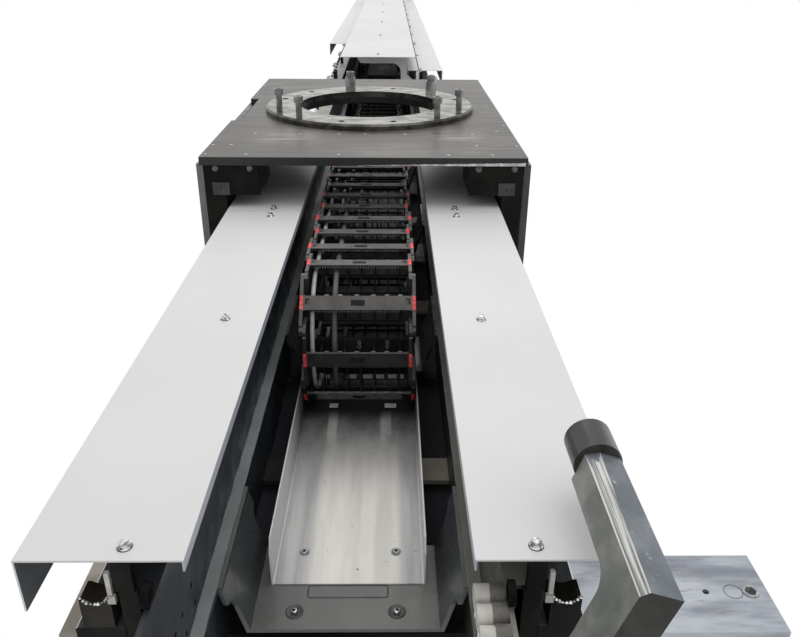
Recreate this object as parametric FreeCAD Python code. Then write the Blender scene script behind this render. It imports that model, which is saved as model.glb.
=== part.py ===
import FreeCAD, Part
import math
import os

from FreeCAD import Vector

# Robot linear track: two guide beams on floor plates, a toothed rack, a cable chain in the
# channel between the beams, and a carriage on rollers that carries the robot's mounting ring.
# Millimetres. +Y runs along the track, +Z is up, the origin is on the floor under the middle
# of the front floor plate.

# Floor plates and stations
plate_t = 20.0
plate_run = 215.0
plate_half_width = 571.0
front_plate_reach = 892.0
station_pitch = 1000.0
station_count = 13
levelling_x = 530.0
levelling_r = 18.0
levelling_edge = 37.0
levelling_proud = 2.0
levelling_head = 14.0
socket_r = 11.0
socket_depth = 14.0
plug_x = 818.0
plug_r = 19.0
pilot_x = 759.0
pilot_r = 7.0
screw_gap = 0.3
tie_run = 94.0
tie_offset = 410.0
tie_t = 12.0

# Covers set the length of the track
cover_count = 8
cover_length = 1576.0
cover_joint_gap = 2.0
cover_front_y = -378.0
cover_top_z = 470.0
cover_t = 3.0
cover_inner_x = 206.5
cover_outer_x = 449.0
cover_outer_drop = 97.0
cover_inner_drop = 20.0
cover_bolt_x = 298.0
cover_bolt_first = 28.0
cover_bolt_pitch = 750.0
cover_bolts_each = 3
cover_bolt_head = 9.0
right_covers_missing = (2,)
left_covers_missing = (2, 3)

# Beams
frame_overhang = 104.0
web_x = 253.0
beam_outer_x = 308.0
beam_lower_x = 236.0
beam_wall = 8.0
beam_top_z = 410.0
ledge_x = 228.0
ledge_z = 204.0
ledge_lip = 13.0
box_shoulder_z = 200.0

# Guide rails and rack
rail_width = 74.0
rail_height = 40.0
rail_top_z = 340.0
rack_module = 10.0
rack_back = 11.0
rack_tooth_run = 32.0
rack_base_height = 58.0
rack_bottom_z = 350.0
rack_segment_count = 6
pressure_angle = math.radians(20.0)

# Saddles between the beams, and the tray that they carry
saddle_t = 8.0
saddle_floor_z = 65.0
saddle_floor_half = 183.0
saddle_floor_run = 230.0
saddle_shift = -22.0
saddle_waist_z = 130.0
saddle_waist_run = 228.0
saddle_top_run = 290.0
tray_half = 159.0
tray_t = 3.0
tray_height = 113.0
tray_front_y = -22.0
tray_corner_cut = 16.0
tray_count = 8
tray_joint_gap = 2.0

# Energy chain
link_pitch = 128.0
link_height = 89.0
chain_half_width = 153.0
link_plate_t = 8.0
link_overlap = 25.0
link_ease = 20.0
bar_run = 40.0
bar_t = 8.0
bend_links = 3
lower_links = 43
upper_links = 11
bend_y = 702.0
thin_hose_x = -112.0
thin_hose_r = 6.0
thick_hose_x = -57.0
thick_hose_r = 7.5
anchor_t = 10.0
anchor_foot = 85.0
anchor_gap = 6.0
anchor_width = 110.0
anchor_half = 135.0

# Carriage
plate_top_z = 639.0
carriage_t = 27.0
carriage_half = 531.0
carriage_front_y = 1236.0
carriage_length = 1601.0
notch_depth = 36.0
notch_front = 571.0
notch_length = 460.0
ring_y = 2050.0
ring_outer_r = 427.0
ring_bore_r = 287.0
ring_t = 23.5
ring_chamfer = 7.0
ring_bolt_r = 375.0
ring_bolt_count = 12
ring_bolt_offset = 15.0
ring_hole_r = 12.5
ring_screw_r = 12.0
ring_head_r = 18.0
ring_head_h = 24.0
ring_screw_proud = 50.0
ring_sleeve_r = 23.0
sleeve_seat = 6.0
ring_screws_plain = (6, 7, 10, 11)
ring_screws_sleeved = (1, 3)

# Roller housings, rollers and their axles
housing_inner_x = 345.0
housing_outer_x = 520.0
housing_run = 240.0
housing_inset = 10.0
housing_hang = 100.0
arm_gap = 6.0
arm_floor_z = 205.0
arm_floor_t = 20.0
arm_post_x = 386.0
flange_gap = 5.0
roller_gap = 0.3
load_r = 45.0
under_r = 30.0
side_r = 25.0
roller_width = 30.0
side_width = 32.0
axle_r = 12.0
axle_gap = 0.05
axle_cap_r = 17.0
axle_cap_t = 4.0
roller_play = 0.5
load_y = 55.0
side_y = 175.0
roller_inset = 2.0
pad_inner_x = 441.0
pad_width = 55.0
pad_height = 42.0
pad_t = 5.0

# Drive
pinion_teeth = 9
pinion_run = 28.0
mesh_gap = 0.15
pinion_root_share = 0.20
pinion_tooth_share = 0.17
pinion_tip_share = 0.05
gearbox_half = 60.0
gearbox_inner_x = 352.0
gearbox_top_z = 454.0
gearbox_flange_t = 8.0
motor_side = 58.0
motor_length = 240.0
motor_relief = 2.0
drive_y = 2020.0
drive_wall_t = 20.0
drive_half = 110.0
drive_post_run = 30.0
hub_r = 18.0
hub_gap = 6.0

# Skirts
skirt_x = 545.0
skirt_t = 3.0
skirt_bottom_z = 215.0
skirt_inset = 15.0
skirt_return = 25.0
skirt_fold = 3.0

# Roof over the channel, on brackets that stand on the right beam
roof_half = 257.0
roof_top_z = 569.0
roof_t = 3.0
roof_lip = 12.0
roof_count = 5
roof_rear_inset = 91.0
roof_bolt_first = 105.0
roof_bolt_last = 275.0
roof_bolt_count = 7
neck_t = 10.0
neck_leg_outer = 202.0
neck_leg_width = 44.0
neck_arm_height = 46.0
neck_reach = -145.0
neck_corner_r = 60.0
neck_end_cut = 24.0
neck_foot_bottom = 300.0
neck_foot_top = 395.0
neck_foot_rise = 45.0
neck_foot_slope = 20.0
neck_flange_run = 40.0
neck_flange_t = 6.0

# End stops
stop_lean = math.radians(18.5)
stop_corner_x = 375.0
stop_corner_z = 593.0
stop_width = 53.0
stop_depth = 58.0
stop_chamfer = 10.0
stop_chamfer_rear = 20.0
stop_arm_rear = -283.0
stop_leg_run = 75.0
stop_leg_length = 470.0
stop_foot_z = 150.0
stop_fillet = 30.0
buffer_r = 36.5
buffer_drop = 21.0
buffer_length = 68.0

# Small front fittings
post_width = 28.0
post_t = 12.0
post_bottom_z = 285.0
post_foot = 22.0
post_foot_run = 20.0
post_sheet = 6.0
post_inset = 1.0
cradle_x = 322.0
cradle_width = 46.0
cradle_height = 53.0
cradle_run = 40.0
cradle_r = 27.0
cradle_sag = 6.0
gland_x = 209.0
gland_r = 17.0
gland_z = 393.0
gland_pitch = 39.0
gland_count = 3
gland_first_y = -447.0
gland_body_r = 19.0
gland_body_length = 22.0
eye_r = 19.0
eye_hole_r = 10.0
eye_t = 10.0
eye_y = -400.0
eye_foot_t = 6.0

# Derived places
cover_rear_y = cover_front_y + cover_count * cover_length
frame_front_y = cover_front_y - frame_overhang
frame_rear_y = cover_rear_y + frame_overhang
track_middle_y = (cover_front_y + cover_rear_y) / 2
roof_length = roof_count * cover_length
roof_front_y = cover_rear_y - roof_rear_inset - roof_length
box_front_y = cover_front_y + post_t
box_rear_y = 2 * track_middle_y - box_front_y
cover_under_z = cover_top_z - cover_t
rail_outer_x = beam_outer_x + rail_width
rail_bottom_z = rail_top_z - rail_height
plate_under_z = plate_top_z - carriage_t
carriage_rear_y = carriage_front_y + carriage_length
tray_floor_z = saddle_floor_z + tray_t
last_station_y = station_pitch * (station_count - 1)
tray_rear_y = last_station_y - tray_front_y
bend_turn = math.pi / (bend_links + 1)
bend_r = link_pitch / (2 * math.sin(bend_turn / 2))
bend_inner_r = bend_r * math.cos(bend_turn / 2)
bend_middle_y = bend_y + link_pitch / 2
lower_chain_z = tray_floor_z + link_height / 2
upper_chain_z = lower_chain_z + 2 * bend_inner_r
chain_top_z = upper_chain_z + link_height / 2
moving_end_y = bend_y + upper_links * link_pitch
fixed_end_y = bend_y + lower_links * link_pitch
housing_front_y = carriage_front_y + housing_inset
housing_rear_y = carriage_rear_y - housing_inset
buffer_front_y = stop_arm_rear + buffer_length
travel_back = buffer_front_y - housing_front_y
travel_ahead = 2 * track_middle_y - buffer_front_y - housing_rear_y
rack_pitch = math.pi * rack_module
rack_addendum = 0.8 * rack_module
rack_dedendum = 1.25 * rack_module
rack_root_x = beam_outer_x + rack_back
rack_pitch_x = rack_root_x + rack_dedendum
pinion_r = rack_module * pinion_teeth / 2
pinion_x = rack_pitch_x + pinion_r + mesh_gap


def box(x0, x1, y0, y1, z0, z1):
    return Part.makeBox(x1 - x0, y1 - y0, z1 - z0, Vector(x0, y0, z0))


def wide_box(half, y0, y1, z0, z1):
    return box(-half, half, y0, y1, z0, z1)


def along_y(points, y0, y1):
    """A prism along Y from (x, z) points."""
    corners = [Vector(x, y0, z) for x, z in points]
    face = Part.Face(Part.makePolygon(corners + corners[:1]))
    return face.extrude(Vector(0, y1 - y0, 0))


def along_x(points, x0, x1):
    """A prism along X from (y, z) points."""
    corners = [Vector(x0, y, z) for y, z in points]
    face = Part.Face(Part.makePolygon(corners + corners[:1]))
    return face.extrude(Vector(x1 - x0, 0, 0))


def along_z(points, z0, z1):
    """A prism along Z from (x, y) points."""
    corners = [Vector(x, y, z0) for x, y in points]
    face = Part.Face(Part.makePolygon(corners + corners[:1]))
    return face.extrude(Vector(0, 0, z1 - z0))


def post_z(x, y, z0, z1, radius):
    return Part.makeCylinder(radius, z1 - z0, Vector(x, y, z0), Vector(0, 0, 1))


def rod_x(x0, x1, y, z, radius):
    return Part.makeCylinder(radius, x1 - x0, Vector(x0, y, z), Vector(1, 0, 0))


def rod_y(x, y0, y1, z, radius):
    return Part.makeCylinder(radius, y1 - y0, Vector(x, y0, z), Vector(0, 1, 0))


def hexagon(x, y, across, z0, z1):
    reach = across / math.sqrt(3)
    turns = [i * math.pi / 3 for i in range(6)]
    corners = [(x + reach * math.cos(turn), y + reach * math.sin(turn)) for turn in turns]
    return along_z(corners, z0, z1)


def other_side(shape):
    """The same piece on the left of the track."""
    return shape.mirror(Vector(0, 0, 0), Vector(1, 0, 0))


def other_end(shape):
    """The same piece at the far end of the track."""
    return shape.mirror(Vector(0, track_middle_y, 0), Vector(0, 1, 0))


def rear_corner(shape):
    """The same piece at the back of the carriage."""
    middle = (carriage_front_y + carriage_rear_y) / 2
    return shape.mirror(Vector(0, middle, 0), Vector(0, 1, 0))


def fused(pieces):
    return pieces[0].multiFuse(pieces[1:]).removeSplitter()


def save(node, *pieces):
    shape = pieces[0] if len(pieces) == 1 else Part.makeCompound(list(pieces))
    shape.exportStep("parts/" + node + ".step")


def stations():
    return [k * station_pitch for k in range(station_count)]


# Beams, floor plates and saddles

def beam():
    """Right beam: an upper box with the inner web, a ledge with a lip, and a wider lower box."""
    outline = [
        (beam_lower_x, plate_t), (beam_outer_x, plate_t), (beam_outer_x, beam_top_z), (web_x, beam_top_z),
        (web_x, ledge_z), (ledge_x, ledge_z), (ledge_x, ledge_z - ledge_lip),
        (beam_lower_x, ledge_z - ledge_lip),
    ]
    inner_x = beam_lower_x + beam_wall
    outer_x = beam_outer_x - beam_wall
    shoulder = ledge_z - beam_wall
    hollow = [
        (inner_x, plate_t + beam_wall), (outer_x, plate_t + beam_wall), (outer_x, beam_top_z - beam_wall),
        (web_x + beam_wall, beam_top_z - beam_wall), (web_x + beam_wall, shoulder), (inner_x, shoulder),
    ]
    solid = along_y(outline, frame_front_y, frame_rear_y)
    solid = solid.cut(along_y(hollow, frame_front_y, frame_rear_y))
    relief = (web_x + beam_wall, beam_outer_x)
    front = box(*relief, frame_front_y, box_front_y, box_shoulder_z, beam_top_z)
    rear = box(*relief, box_rear_y, frame_rear_y, box_shoulder_z, beam_top_z)
    return solid.cut(front).cut(rear)


def front_screw_x():
    return front_plate_reach - levelling_edge


def front_floor_plate():
    """The front plate reaches out to the right, with a levelling screw, a plug and a pilot hole in it."""
    plate = box(-plate_half_width, front_plate_reach, -plate_run / 2, plate_run / 2, 0, plate_t)
    plate = plate.cut(post_z(front_screw_x(), 0, 0, plate_t, levelling_r + screw_gap))
    plate = plate.cut(post_z(pilot_x, 0, 0, plate_t, pilot_r))
    return plate.cut(post_z(plug_x, 0, 0, plate_t, plug_r + screw_gap))


def front_levelling_screw():
    x = front_screw_x()
    top = plate_t + levelling_proud
    return post_z(x, 0, 0, top, levelling_r).cut(hexagon(x, 0, 2 * socket_r, top - socket_depth, top))


def floor_plates():
    half = plate_run / 2
    return [wide_box(plate_half_width, y - half, y + half, 0, plate_t) for y in stations()[1:]]


def floor_ties():
    places = [y + tie_offset for y in stations()[:-1]]
    inner = beam_lower_x
    return [wide_box(inner, y - tie_run / 2, y + tie_run / 2, plate_t, plate_t + tie_t) for y in places]


def levelling_heads():
    """Hexagon heads of the other levelling screws, one at each end of a floor plate."""
    top = plate_t + levelling_head
    places = [(x, y) for y in stations()[1:] for x in (-levelling_x, levelling_x)]
    places.append((-levelling_x, 0))
    return [hexagon(x, y, 2 * levelling_r, plate_t, top) for x, y in places]


def saddle_outline():
    """Side view of a saddle: narrow at its waist, flared to the ledges in two short slopes."""
    floor = saddle_floor_run / 2
    waist = saddle_waist_run / 2
    top = saddle_top_run / 2
    low = saddle_floor_z - saddle_t
    curve_top = saddle_waist_z + (top - waist)
    bulge = (top - waist) * (1 - math.sqrt(0.5))
    rear = [
        (floor, low), (waist, saddle_waist_z), (waist + bulge, curve_top - bulge), (top, curve_top),
        (top, ledge_z),
    ]
    front = [(-y, z) for y, z in rear]
    half = ledge_x + saddle_t
    return along_x(rear + front[::-1], -half, half)


def saddle():
    low = saddle_floor_z - saddle_t
    lip_z = ledge_z - ledge_lip
    outer = [(ledge_x, ledge_z), (ledge_x, lip_z), (saddle_floor_half + saddle_t, low)]
    inner = [
        (ledge_x - saddle_t, ledge_z), (ledge_x - saddle_t, lip_z), (saddle_floor_half, saddle_floor_z),
    ]
    right = outer + [(0, low), (0, saddle_floor_z)] + inner[::-1]
    half = along_y(right, -saddle_top_run / 2, saddle_top_run / 2)
    return fused([half, other_side(half)]).common(saddle_outline())


def saddles():
    first = saddle()
    copies = []
    for y in stations():
        copy = first.copy()
        copy.translate(Vector(0, y + saddle_shift, 0))
        copies.append(copy)
    return copies


def tray():
    """Folded sheets laid end to end, the first with its front corners cut off."""
    inner = tray_half - tray_t
    top = saddle_floor_z + tray_height
    outline = [
        (-tray_half, saddle_floor_z), (tray_half, saddle_floor_z), (tray_half, top), (inner, top),
        (inner, tray_floor_z), (-inner, tray_floor_z), (-inner, top), (-tray_half, top),
    ]
    pitch = (tray_rear_y + tray_joint_gap - tray_front_y) / tray_count
    starts = [tray_front_y + k * pitch for k in range(tray_count)]
    sections = [along_y(outline, y, y + pitch - tray_joint_gap) for y in starts]
    cut = tray_corner_cut
    corner = [(tray_front_y, top - 2 * cut), (tray_front_y, top), (tray_front_y + cut, top)]
    sections[0] = sections[0].cut(along_x(corner, -tray_half, tray_half))
    return sections


# Rails, rack and pinion

def guide_rail():
    """Right rail: a bar on the beam's outer wall, with eased upper edges."""
    ease = 3.0
    points = [
        (beam_outer_x, rail_bottom_z), (rail_outer_x, rail_bottom_z), (rail_outer_x, rail_top_z - ease),
        (rail_outer_x - ease, rail_top_z), (beam_outer_x, rail_top_z),
    ]
    return along_y(points, cover_front_y, 2 * track_middle_y - cover_front_y)


def rack_segment(first_y, teeth):
    """Left rack: teeth point away from the beam, and the plain upper edge takes the bolts."""
    tip_half = rack_pitch / 4 - rack_module * math.tan(pressure_angle)
    tip_x = rack_pitch_x + rack_addendum
    last_y = first_y + teeth * rack_pitch
    points = [(-beam_outer_x, first_y), (-rack_root_x, first_y)]
    for k in range(teeth):
        middle = first_y + (k + 0.5) * rack_pitch
        points += [(-tip_x, middle - tip_half), (-tip_x, middle + tip_half)]
        points.append((-rack_root_x, middle + rack_pitch / 2))
    points.append((-beam_outer_x, last_y))
    teeth_top = rack_bottom_z + rack_tooth_run
    back = box(-rack_root_x, -beam_outer_x, first_y, last_y, teeth_top, rack_bottom_z + rack_base_height)
    return fused([along_z(points, rack_bottom_z, teeth_top), back])


def rack_first_y():
    """The rack's first tooth, placed so that a tooth gap faces the pinion at rest."""
    reach = drive_y + travel_back - 2 * rack_pitch
    return drive_y - math.ceil((drive_y - reach) / rack_pitch) * rack_pitch


def rack():
    first = rack_first_y()
    last = drive_y + travel_ahead + 2 * rack_pitch
    teeth = math.ceil((last - first) / rack_pitch / rack_segment_count)
    run = teeth * rack_pitch
    return [rack_segment(first + k * run, teeth) for k in range(rack_segment_count)]


def pinion():
    """Spur pinion on a vertical shaft, with straight-sided teeth like the rack's."""
    tip_r = pinion_r + rack_addendum
    root_r = pinion_r - rack_dedendum
    step = 2 * math.pi / pinion_teeth
    points = []
    for k in range(pinion_teeth):
        middle = k * step
        root_turn = step * pinion_root_share
        mid_turn = step * pinion_tooth_share
        tip_turn = step * pinion_tip_share
        for radius, turn in (
            (root_r, -root_turn), (pinion_r, -mid_turn), (tip_r, -tip_turn),
            (tip_r, tip_turn), (pinion_r, mid_turn), (root_r, root_turn),
        ):
            points.append((radius * math.cos(middle + turn), radius * math.sin(middle + turn)))
    low = rack_bottom_z + (rack_tooth_run - pinion_run) / 2
    wheel = along_z(points, low, low + pinion_run)
    wheel.translate(Vector(-pinion_x, drive_y, 0))
    hub_low = low + pinion_run
    return fused([wheel, post_z(-pinion_x, drive_y, hub_low, gearbox_low(), hub_r)])


# Covers, posts, roof

def cover(k):
    """One right cover: a folded sheet with a deep outer flange and a shallow inner one."""
    low_outer = cover_top_z - cover_outer_drop
    low_inner = cover_top_z - cover_inner_drop
    points = [
        (cover_inner_x, low_inner), (cover_inner_x, cover_top_z), (cover_outer_x, cover_top_z),
        (cover_outer_x, low_outer), (cover_outer_x - cover_t, low_outer),
        (cover_outer_x - cover_t, cover_under_z),
        (cover_inner_x + cover_t, cover_under_z), (cover_inner_x + cover_t, low_inner),
    ]
    start = cover_front_y + k * cover_length
    return along_y(points, start, start + cover_length - cover_joint_gap)


def bolt_places(k):
    start = cover_front_y + k * cover_length + cover_bolt_first
    return [start + i * cover_bolt_pitch for i in range(cover_bolts_each)]


def cover_post(y):
    """A footed bracket from the beam's top to the cover."""
    t = post_sheet
    end = y + post_foot_run
    points = [
        (y - t, beam_top_z), (end, beam_top_z), (end, beam_top_z + t), (y + t, beam_top_z + t),
        (y + t, cover_under_z), (y - t, cover_under_z),
    ]
    return along_x(points, beam_outer_x - post_foot, beam_outer_x)


def front_post():
    """The first post stands in front of the beam's box and is bolted to its end."""
    inner = cover_bolt_x - post_width / 2
    outer = cover_bolt_x + post_width / 2
    front = cover_front_y + post_inset
    low = box(beam_outer_x - post_width, beam_outer_x, front, box_front_y, post_bottom_z, beam_top_z)
    high = box(inner, outer, front, box_front_y, beam_top_z, cover_under_z)
    tab_rear = cover_front_y + cover_bolt_first + post_width / 2
    tab = box(inner, outer, box_front_y, tab_rear, cover_under_z - post_sheet, cover_under_z)
    return fused([low, high, tab])


def post_rows():
    places = [y for k in range(cover_count) for y in bolt_places(k)]
    return [cover_post(y) for y in places[1:-1]]


def roof_sheet(k):
    low = roof_top_z - roof_lip
    under = roof_top_z - roof_t
    inner = roof_half - roof_t
    points = [
        (-roof_half, low), (-roof_half, roof_top_z), (roof_half, roof_top_z), (roof_half, low),
        (inner, low), (inner, under), (-inner, under), (-inner, low),
    ]
    start = roof_front_y + k * cover_length
    return along_y(points, start, start + cover_length - cover_joint_gap)


def roof_places():
    pitch = (roof_length - roof_bolt_first - roof_bolt_last) / (roof_bolt_count - 1)
    return [roof_front_y + roof_bolt_first + k * pitch for k in range(roof_bolt_count)]


def roof_bracket(y):
    """A gooseneck: a leg on the web, a rounded inner corner, and an arm that ends free on the left."""
    under = roof_top_z - roof_t
    arm_top = under - neck_flange_t
    arm_low = arm_top - neck_arm_height
    leg_inner = neck_leg_outer - neck_leg_width
    centre_x = leg_inner - neck_corner_r
    centre_z = arm_low - neck_corner_r
    bend = math.sqrt(0.5) * neck_corner_r
    foot_inner = web_x - neck_leg_width - neck_foot_slope
    foot_high = neck_foot_top + neck_foot_rise

    def at(x, z):
        return Vector(x, y, z)

    lines = [
        (at(web_x, neck_foot_bottom), at(web_x, neck_foot_top)),
        (at(web_x, neck_foot_top), at(neck_leg_outer, foot_high)),
        (at(neck_leg_outer, foot_high), at(neck_leg_outer, arm_top)),
        (at(neck_leg_outer, arm_top), at(neck_reach, arm_top)),
        (at(neck_reach, arm_top), at(neck_reach, arm_top - neck_end_cut / 2)),
        (at(neck_reach, arm_top - neck_end_cut / 2), at(neck_reach + neck_end_cut, arm_low)),
        (at(neck_reach + neck_end_cut, arm_low), at(centre_x, arm_low)),
        (at(leg_inner, centre_z), at(leg_inner, neck_foot_top)),
        (at(leg_inner, neck_foot_top), at(foot_inner, neck_foot_bottom)),
        (at(foot_inner, neck_foot_bottom), at(web_x, neck_foot_bottom)),
    ]
    edges = [Part.LineSegment(a, b).toShape() for a, b in lines]
    corner = Part.Arc(at(centre_x, arm_low), at(centre_x + bend, centre_z + bend), at(leg_inner, centre_z))
    edges.append(corner.toShape())
    plate = Part.Face(Part.Wire(Part.__sortEdges__(edges))).extrude(Vector(0, neck_t, 0))
    flange = box(neck_reach, neck_leg_outer, y, y + neck_flange_run, arm_top, under)
    return fused([plate, flange])


# Cable chain

def link(eased, lane):
    """One link along +Y from its first pin: two side plates and two cross bars.

    Neighbours have their plates in lanes side by side. The open runs have eased plate corners."""
    half = link_height / 2
    outer = chain_half_width - (link_plate_t if lane == 0 else 0)
    inner = outer - link_plate_t
    start = -link_overlap
    end = link_pitch + link_overlap
    ease = link_ease
    if eased:
        points = [
            (start, -half + ease), (start + ease, -half), (end - ease, -half), (end, -half + ease),
            (end, half - ease), (end - ease, half), (start + ease, half), (start, half - ease),
        ]
    else:
        points = [(start, -half), (end, -half), (end, half), (start, half)]
    plates = [along_x(points, side * inner, side * outer) for side in (-1, 1)]
    middle = link_pitch / 2
    run = (middle - bar_run / 2, middle + bar_run / 2)
    bars = [box(-inner, inner, *run, half - bar_t, half), box(-inner, inner, *run, -half, -half + bar_t)]
    return Part.makeCompound(plates + bars)


def placed(shape, y, z, turn):
    copy = shape.copy()
    copy.rotate(Vector(0, 0, 0), Vector(1, 0, 0), math.degrees(turn))
    copy.translate(Vector(0, y, z))
    return copy


def lower_run():
    shapes = [link(False, lane) for lane in (0, 1)]
    return [placed(shapes[k % 2], bend_y + k * link_pitch, lower_chain_z, 0) for k in range(lower_links)]


def upper_run():
    shapes = [link(True, lane) for lane in (0, 1)]
    return [placed(shapes[k % 2], bend_y + k * link_pitch, upper_chain_z, 0) for k in range(upper_links)]


def bend_point(radius, turn):
    """A point (y, z) of the bend, turned from straight down towards the front."""
    middle_z = lower_chain_z + bend_inner_r
    return bend_middle_y - radius * math.sin(turn), middle_z - radius * math.cos(turn)


def bend_run():
    shapes = [link(True, lane) for lane in (0, 1)]
    links = []
    for k in range(bend_links):
        y, z = bend_point(bend_r, (k + 0.5) * bend_turn)
        links.append(placed(shapes[(k + 1) % 2], y, z, math.pi - (k + 1) * bend_turn))
    return links


def hose_corners(radius):
    """A plain six-sided section: the hose is only as round as its chain needs it."""
    turns = [i * math.pi / 3 for i in range(6)]
    return [(radius * math.cos(t), radius * math.sin(t)) for t in turns]


def hose_run(x, radius, y1, z):
    return along_y([(x + dx, z + dz) for dx, dz in hose_corners(radius)], bend_middle_y, y1)


def hose_bend(x, radius):
    """The hose follows its links round the bend, with a mitre at each pin."""
    half_turn = bend_turn / 2
    stops = [(bend_inner_r, 0.0, 1.0), (bend_inner_r, math.pi, 1.0)]
    stops[1:1] = [(bend_r, (k + 0.5) * bend_turn, math.cos(half_turn)) for k in range(bend_links + 1)]
    wires = []
    for middle_r, turn, mitre in stops:
        corners = []
        for dx, outward in hose_corners(radius):
            y, z = bend_point(middle_r + outward / mitre, turn)
            corners.append(Vector(x + dx, y, z))
        wires.append(Part.makePolygon(corners + corners[:1]))
    return Part.makeLoft(wires, True, True)


def chain_anchor_fixed():
    """The bracket that holds the lower run's far end to the tray."""
    start = fixed_end_y + link_overlap
    top = tray_floor_z + anchor_t
    foot = wide_box(chain_half_width, start, start + anchor_foot, tray_floor_z, top)
    rise = wide_box(chain_half_width, start, start + anchor_t, top, lower_chain_z + link_height / 2)
    return fused([foot, rise])


def chain_anchor_moving():
    """Hangs from the carriage outside the roof's left edge and reaches in over the chain."""
    outer = -roof_half - anchor_gap - anchor_t
    low = cover_top_z + cover_bolt_head + anchor_gap
    end_y = moving_end_y + link_overlap
    run = (end_y + anchor_t - anchor_width, end_y + anchor_t)
    drop = box(outer, outer + anchor_t, *run, low, plate_under_z)
    shelf = box(outer, anchor_half, *run, low, low + anchor_t)
    neck = wide_box(anchor_half, end_y, run[1], chain_top_z, low)
    tongue = wide_box(chain_half_width, end_y, run[1], chain_top_z - link_height, chain_top_z)
    return fused([drop, shelf, neck, tongue])


# Carriage

def carriage_plate():
    body = wide_box(carriage_half, carriage_front_y, carriage_rear_y, plate_under_z, plate_top_z)
    notch_y = carriage_front_y + notch_front
    notch_x = -carriage_half + notch_depth
    notch = box(-carriage_half, notch_x, notch_y, notch_y + notch_length, plate_under_z, plate_top_z)
    return body.cut(notch).cut(post_z(0, ring_y, plate_under_z, plate_top_z, ring_bore_r))


def ring_place(number):
    turn = math.radians(ring_bolt_offset + number * 360 / ring_bolt_count)
    return ring_bolt_r * math.cos(turn), ring_y + ring_bolt_r * math.sin(turn)


def robot_ring():
    top = plate_top_z + ring_t
    edge = ring_outer_r - ring_chamfer
    half_section = [
        (ring_bore_r, plate_top_z), (ring_outer_r, plate_top_z), (ring_outer_r, top - ring_chamfer),
        (edge, top), (ring_bore_r, top),
    ]
    corners = [Vector(r, ring_y, z) for r, z in half_section]
    face = Part.Face(Part.makePolygon(corners + corners[:1]))
    ring = face.revolve(Vector(0, ring_y, 0), Vector(0, 0, 1), 360)
    for number in range(ring_bolt_count):
        ring = ring.cut(post_z(*ring_place(number), plate_top_z, top, ring_hole_r))
    for number in ring_screws_sleeved:
        seat = post_z(*ring_place(number), top - sleeve_seat, top, ring_sleeve_r + screw_gap)
        ring = ring.cut(seat)
    return ring


def ring_screws():
    """Socket-head screws that stand in the ring's holes, ready for the robot's foot."""
    top = plate_top_z + ring_t
    head_low = top + ring_screw_proud
    head_top = head_low + ring_head_h
    screws = []
    for number in ring_screws_plain + ring_screws_sleeved:
        x, y = ring_place(number)
        head = post_z(x, y, head_low, head_top, ring_head_r)
        head = head.cut(hexagon(x, y, ring_head_r, head_low + ring_head_h / 2, head_top))
        screws.append(fused([head, post_z(x, y, plate_top_z, head_low, ring_screw_r)]))
    return screws


def ring_sleeves():
    """Spacer tubes round two of the screws, let into the ring."""
    high = plate_top_z + ring_t + ring_screw_proud
    low = plate_top_z + ring_t - sleeve_seat
    sleeves = []
    for number in ring_screws_sleeved:
        x, y = ring_place(number)
        tube = post_z(x, y, low, high, ring_sleeve_r)
        sleeves.append(tube.cut(post_z(x, y, low, high, ring_screw_r + screw_gap)))
    return sleeves


def roller_y(place):
    return housing_front_y + place


def load_z():
    return rail_top_z + load_r + roller_gap


def under_z():
    return rail_bottom_z - under_r - roller_gap


def side_x():
    return rail_outer_x + side_r + roller_gap


def roller_span():
    """Where the load and hold-down rollers lie across the rail."""
    outer = rail_outer_x - roller_inset
    return outer - roller_width, outer


def stub_axle(y, z):
    """A horizontal axle from the housing's post, with a cap that keeps the roller on."""
    inner, outer = roller_span()
    cap_x = inner - roller_play
    rod = rod_x(cap_x, arm_post_x, y, z, axle_r)
    return fused([rod, rod_x(cap_x - axle_cap_t, cap_x, y, z, axle_cap_r)])


def side_axle():
    y = roller_y(side_y)
    middle = (rail_top_z + rail_bottom_z) / 2
    low = middle - side_width / 2 - roller_play
    high = middle + side_width / 2 + roller_play
    floor = arm_floor_z + arm_floor_t
    boss = post_z(side_x(), y, floor, low, axle_cap_r)
    rod = post_z(side_x(), y, low, high, axle_r)
    cap = post_z(side_x(), y, high, high + axle_cap_t, axle_cap_r)
    return fused([boss, rod, cap])


def housing():
    """Front right roller housing: a block under the plate, an arm outside the cover, a floor under its
    flange and a post inside it, with the stub axles."""
    y0 = housing_front_y
    y1 = y0 + housing_run
    block_low = plate_under_z - housing_hang
    wall_x = cover_outer_x + arm_gap
    block = box(housing_inner_x, housing_outer_x, y0, y1, block_low, plate_under_z)
    wall = box(wall_x, housing_outer_x, y0, y1, arm_floor_z, block_low)
    floor = box(arm_post_x, wall_x, y0, y1, arm_floor_z, arm_floor_z + arm_floor_t)
    post_outer = cover_outer_x - cover_t - flange_gap
    post_rear = y0 + 2 * load_y
    post_top = cover_under_z - 3 * flange_gap
    post = box(arm_post_x, post_outer, y0, post_rear, arm_floor_z + arm_floor_t, post_top)
    axles = [stub_axle(roller_y(load_y), load_z()), stub_axle(roller_y(load_y), under_z())]
    return fused([block, wall, floor, post] + axles + [side_axle()])


def ring_roller(radius, width):
    """A roller on the X axis, centred on the origin, bored for its axle."""
    half = width / 2
    return rod_x(-half, half, 0, 0, radius).cut(rod_x(-half, half, 0, 0, axle_r + axle_gap))


def flat_roller(radius, y, z):
    inner, outer = roller_span()
    roller = ring_roller(radius, roller_width)
    roller.translate(Vector((inner + outer) / 2, y, z))
    return roller


def side_roller():
    roller = ring_roller(side_r, side_width)
    roller.rotate(Vector(0, 0, 0), Vector(0, 1, 0), 90)
    roller.translate(Vector(side_x(), roller_y(side_y), (rail_top_z + rail_bottom_z) / 2))
    return roller


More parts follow.
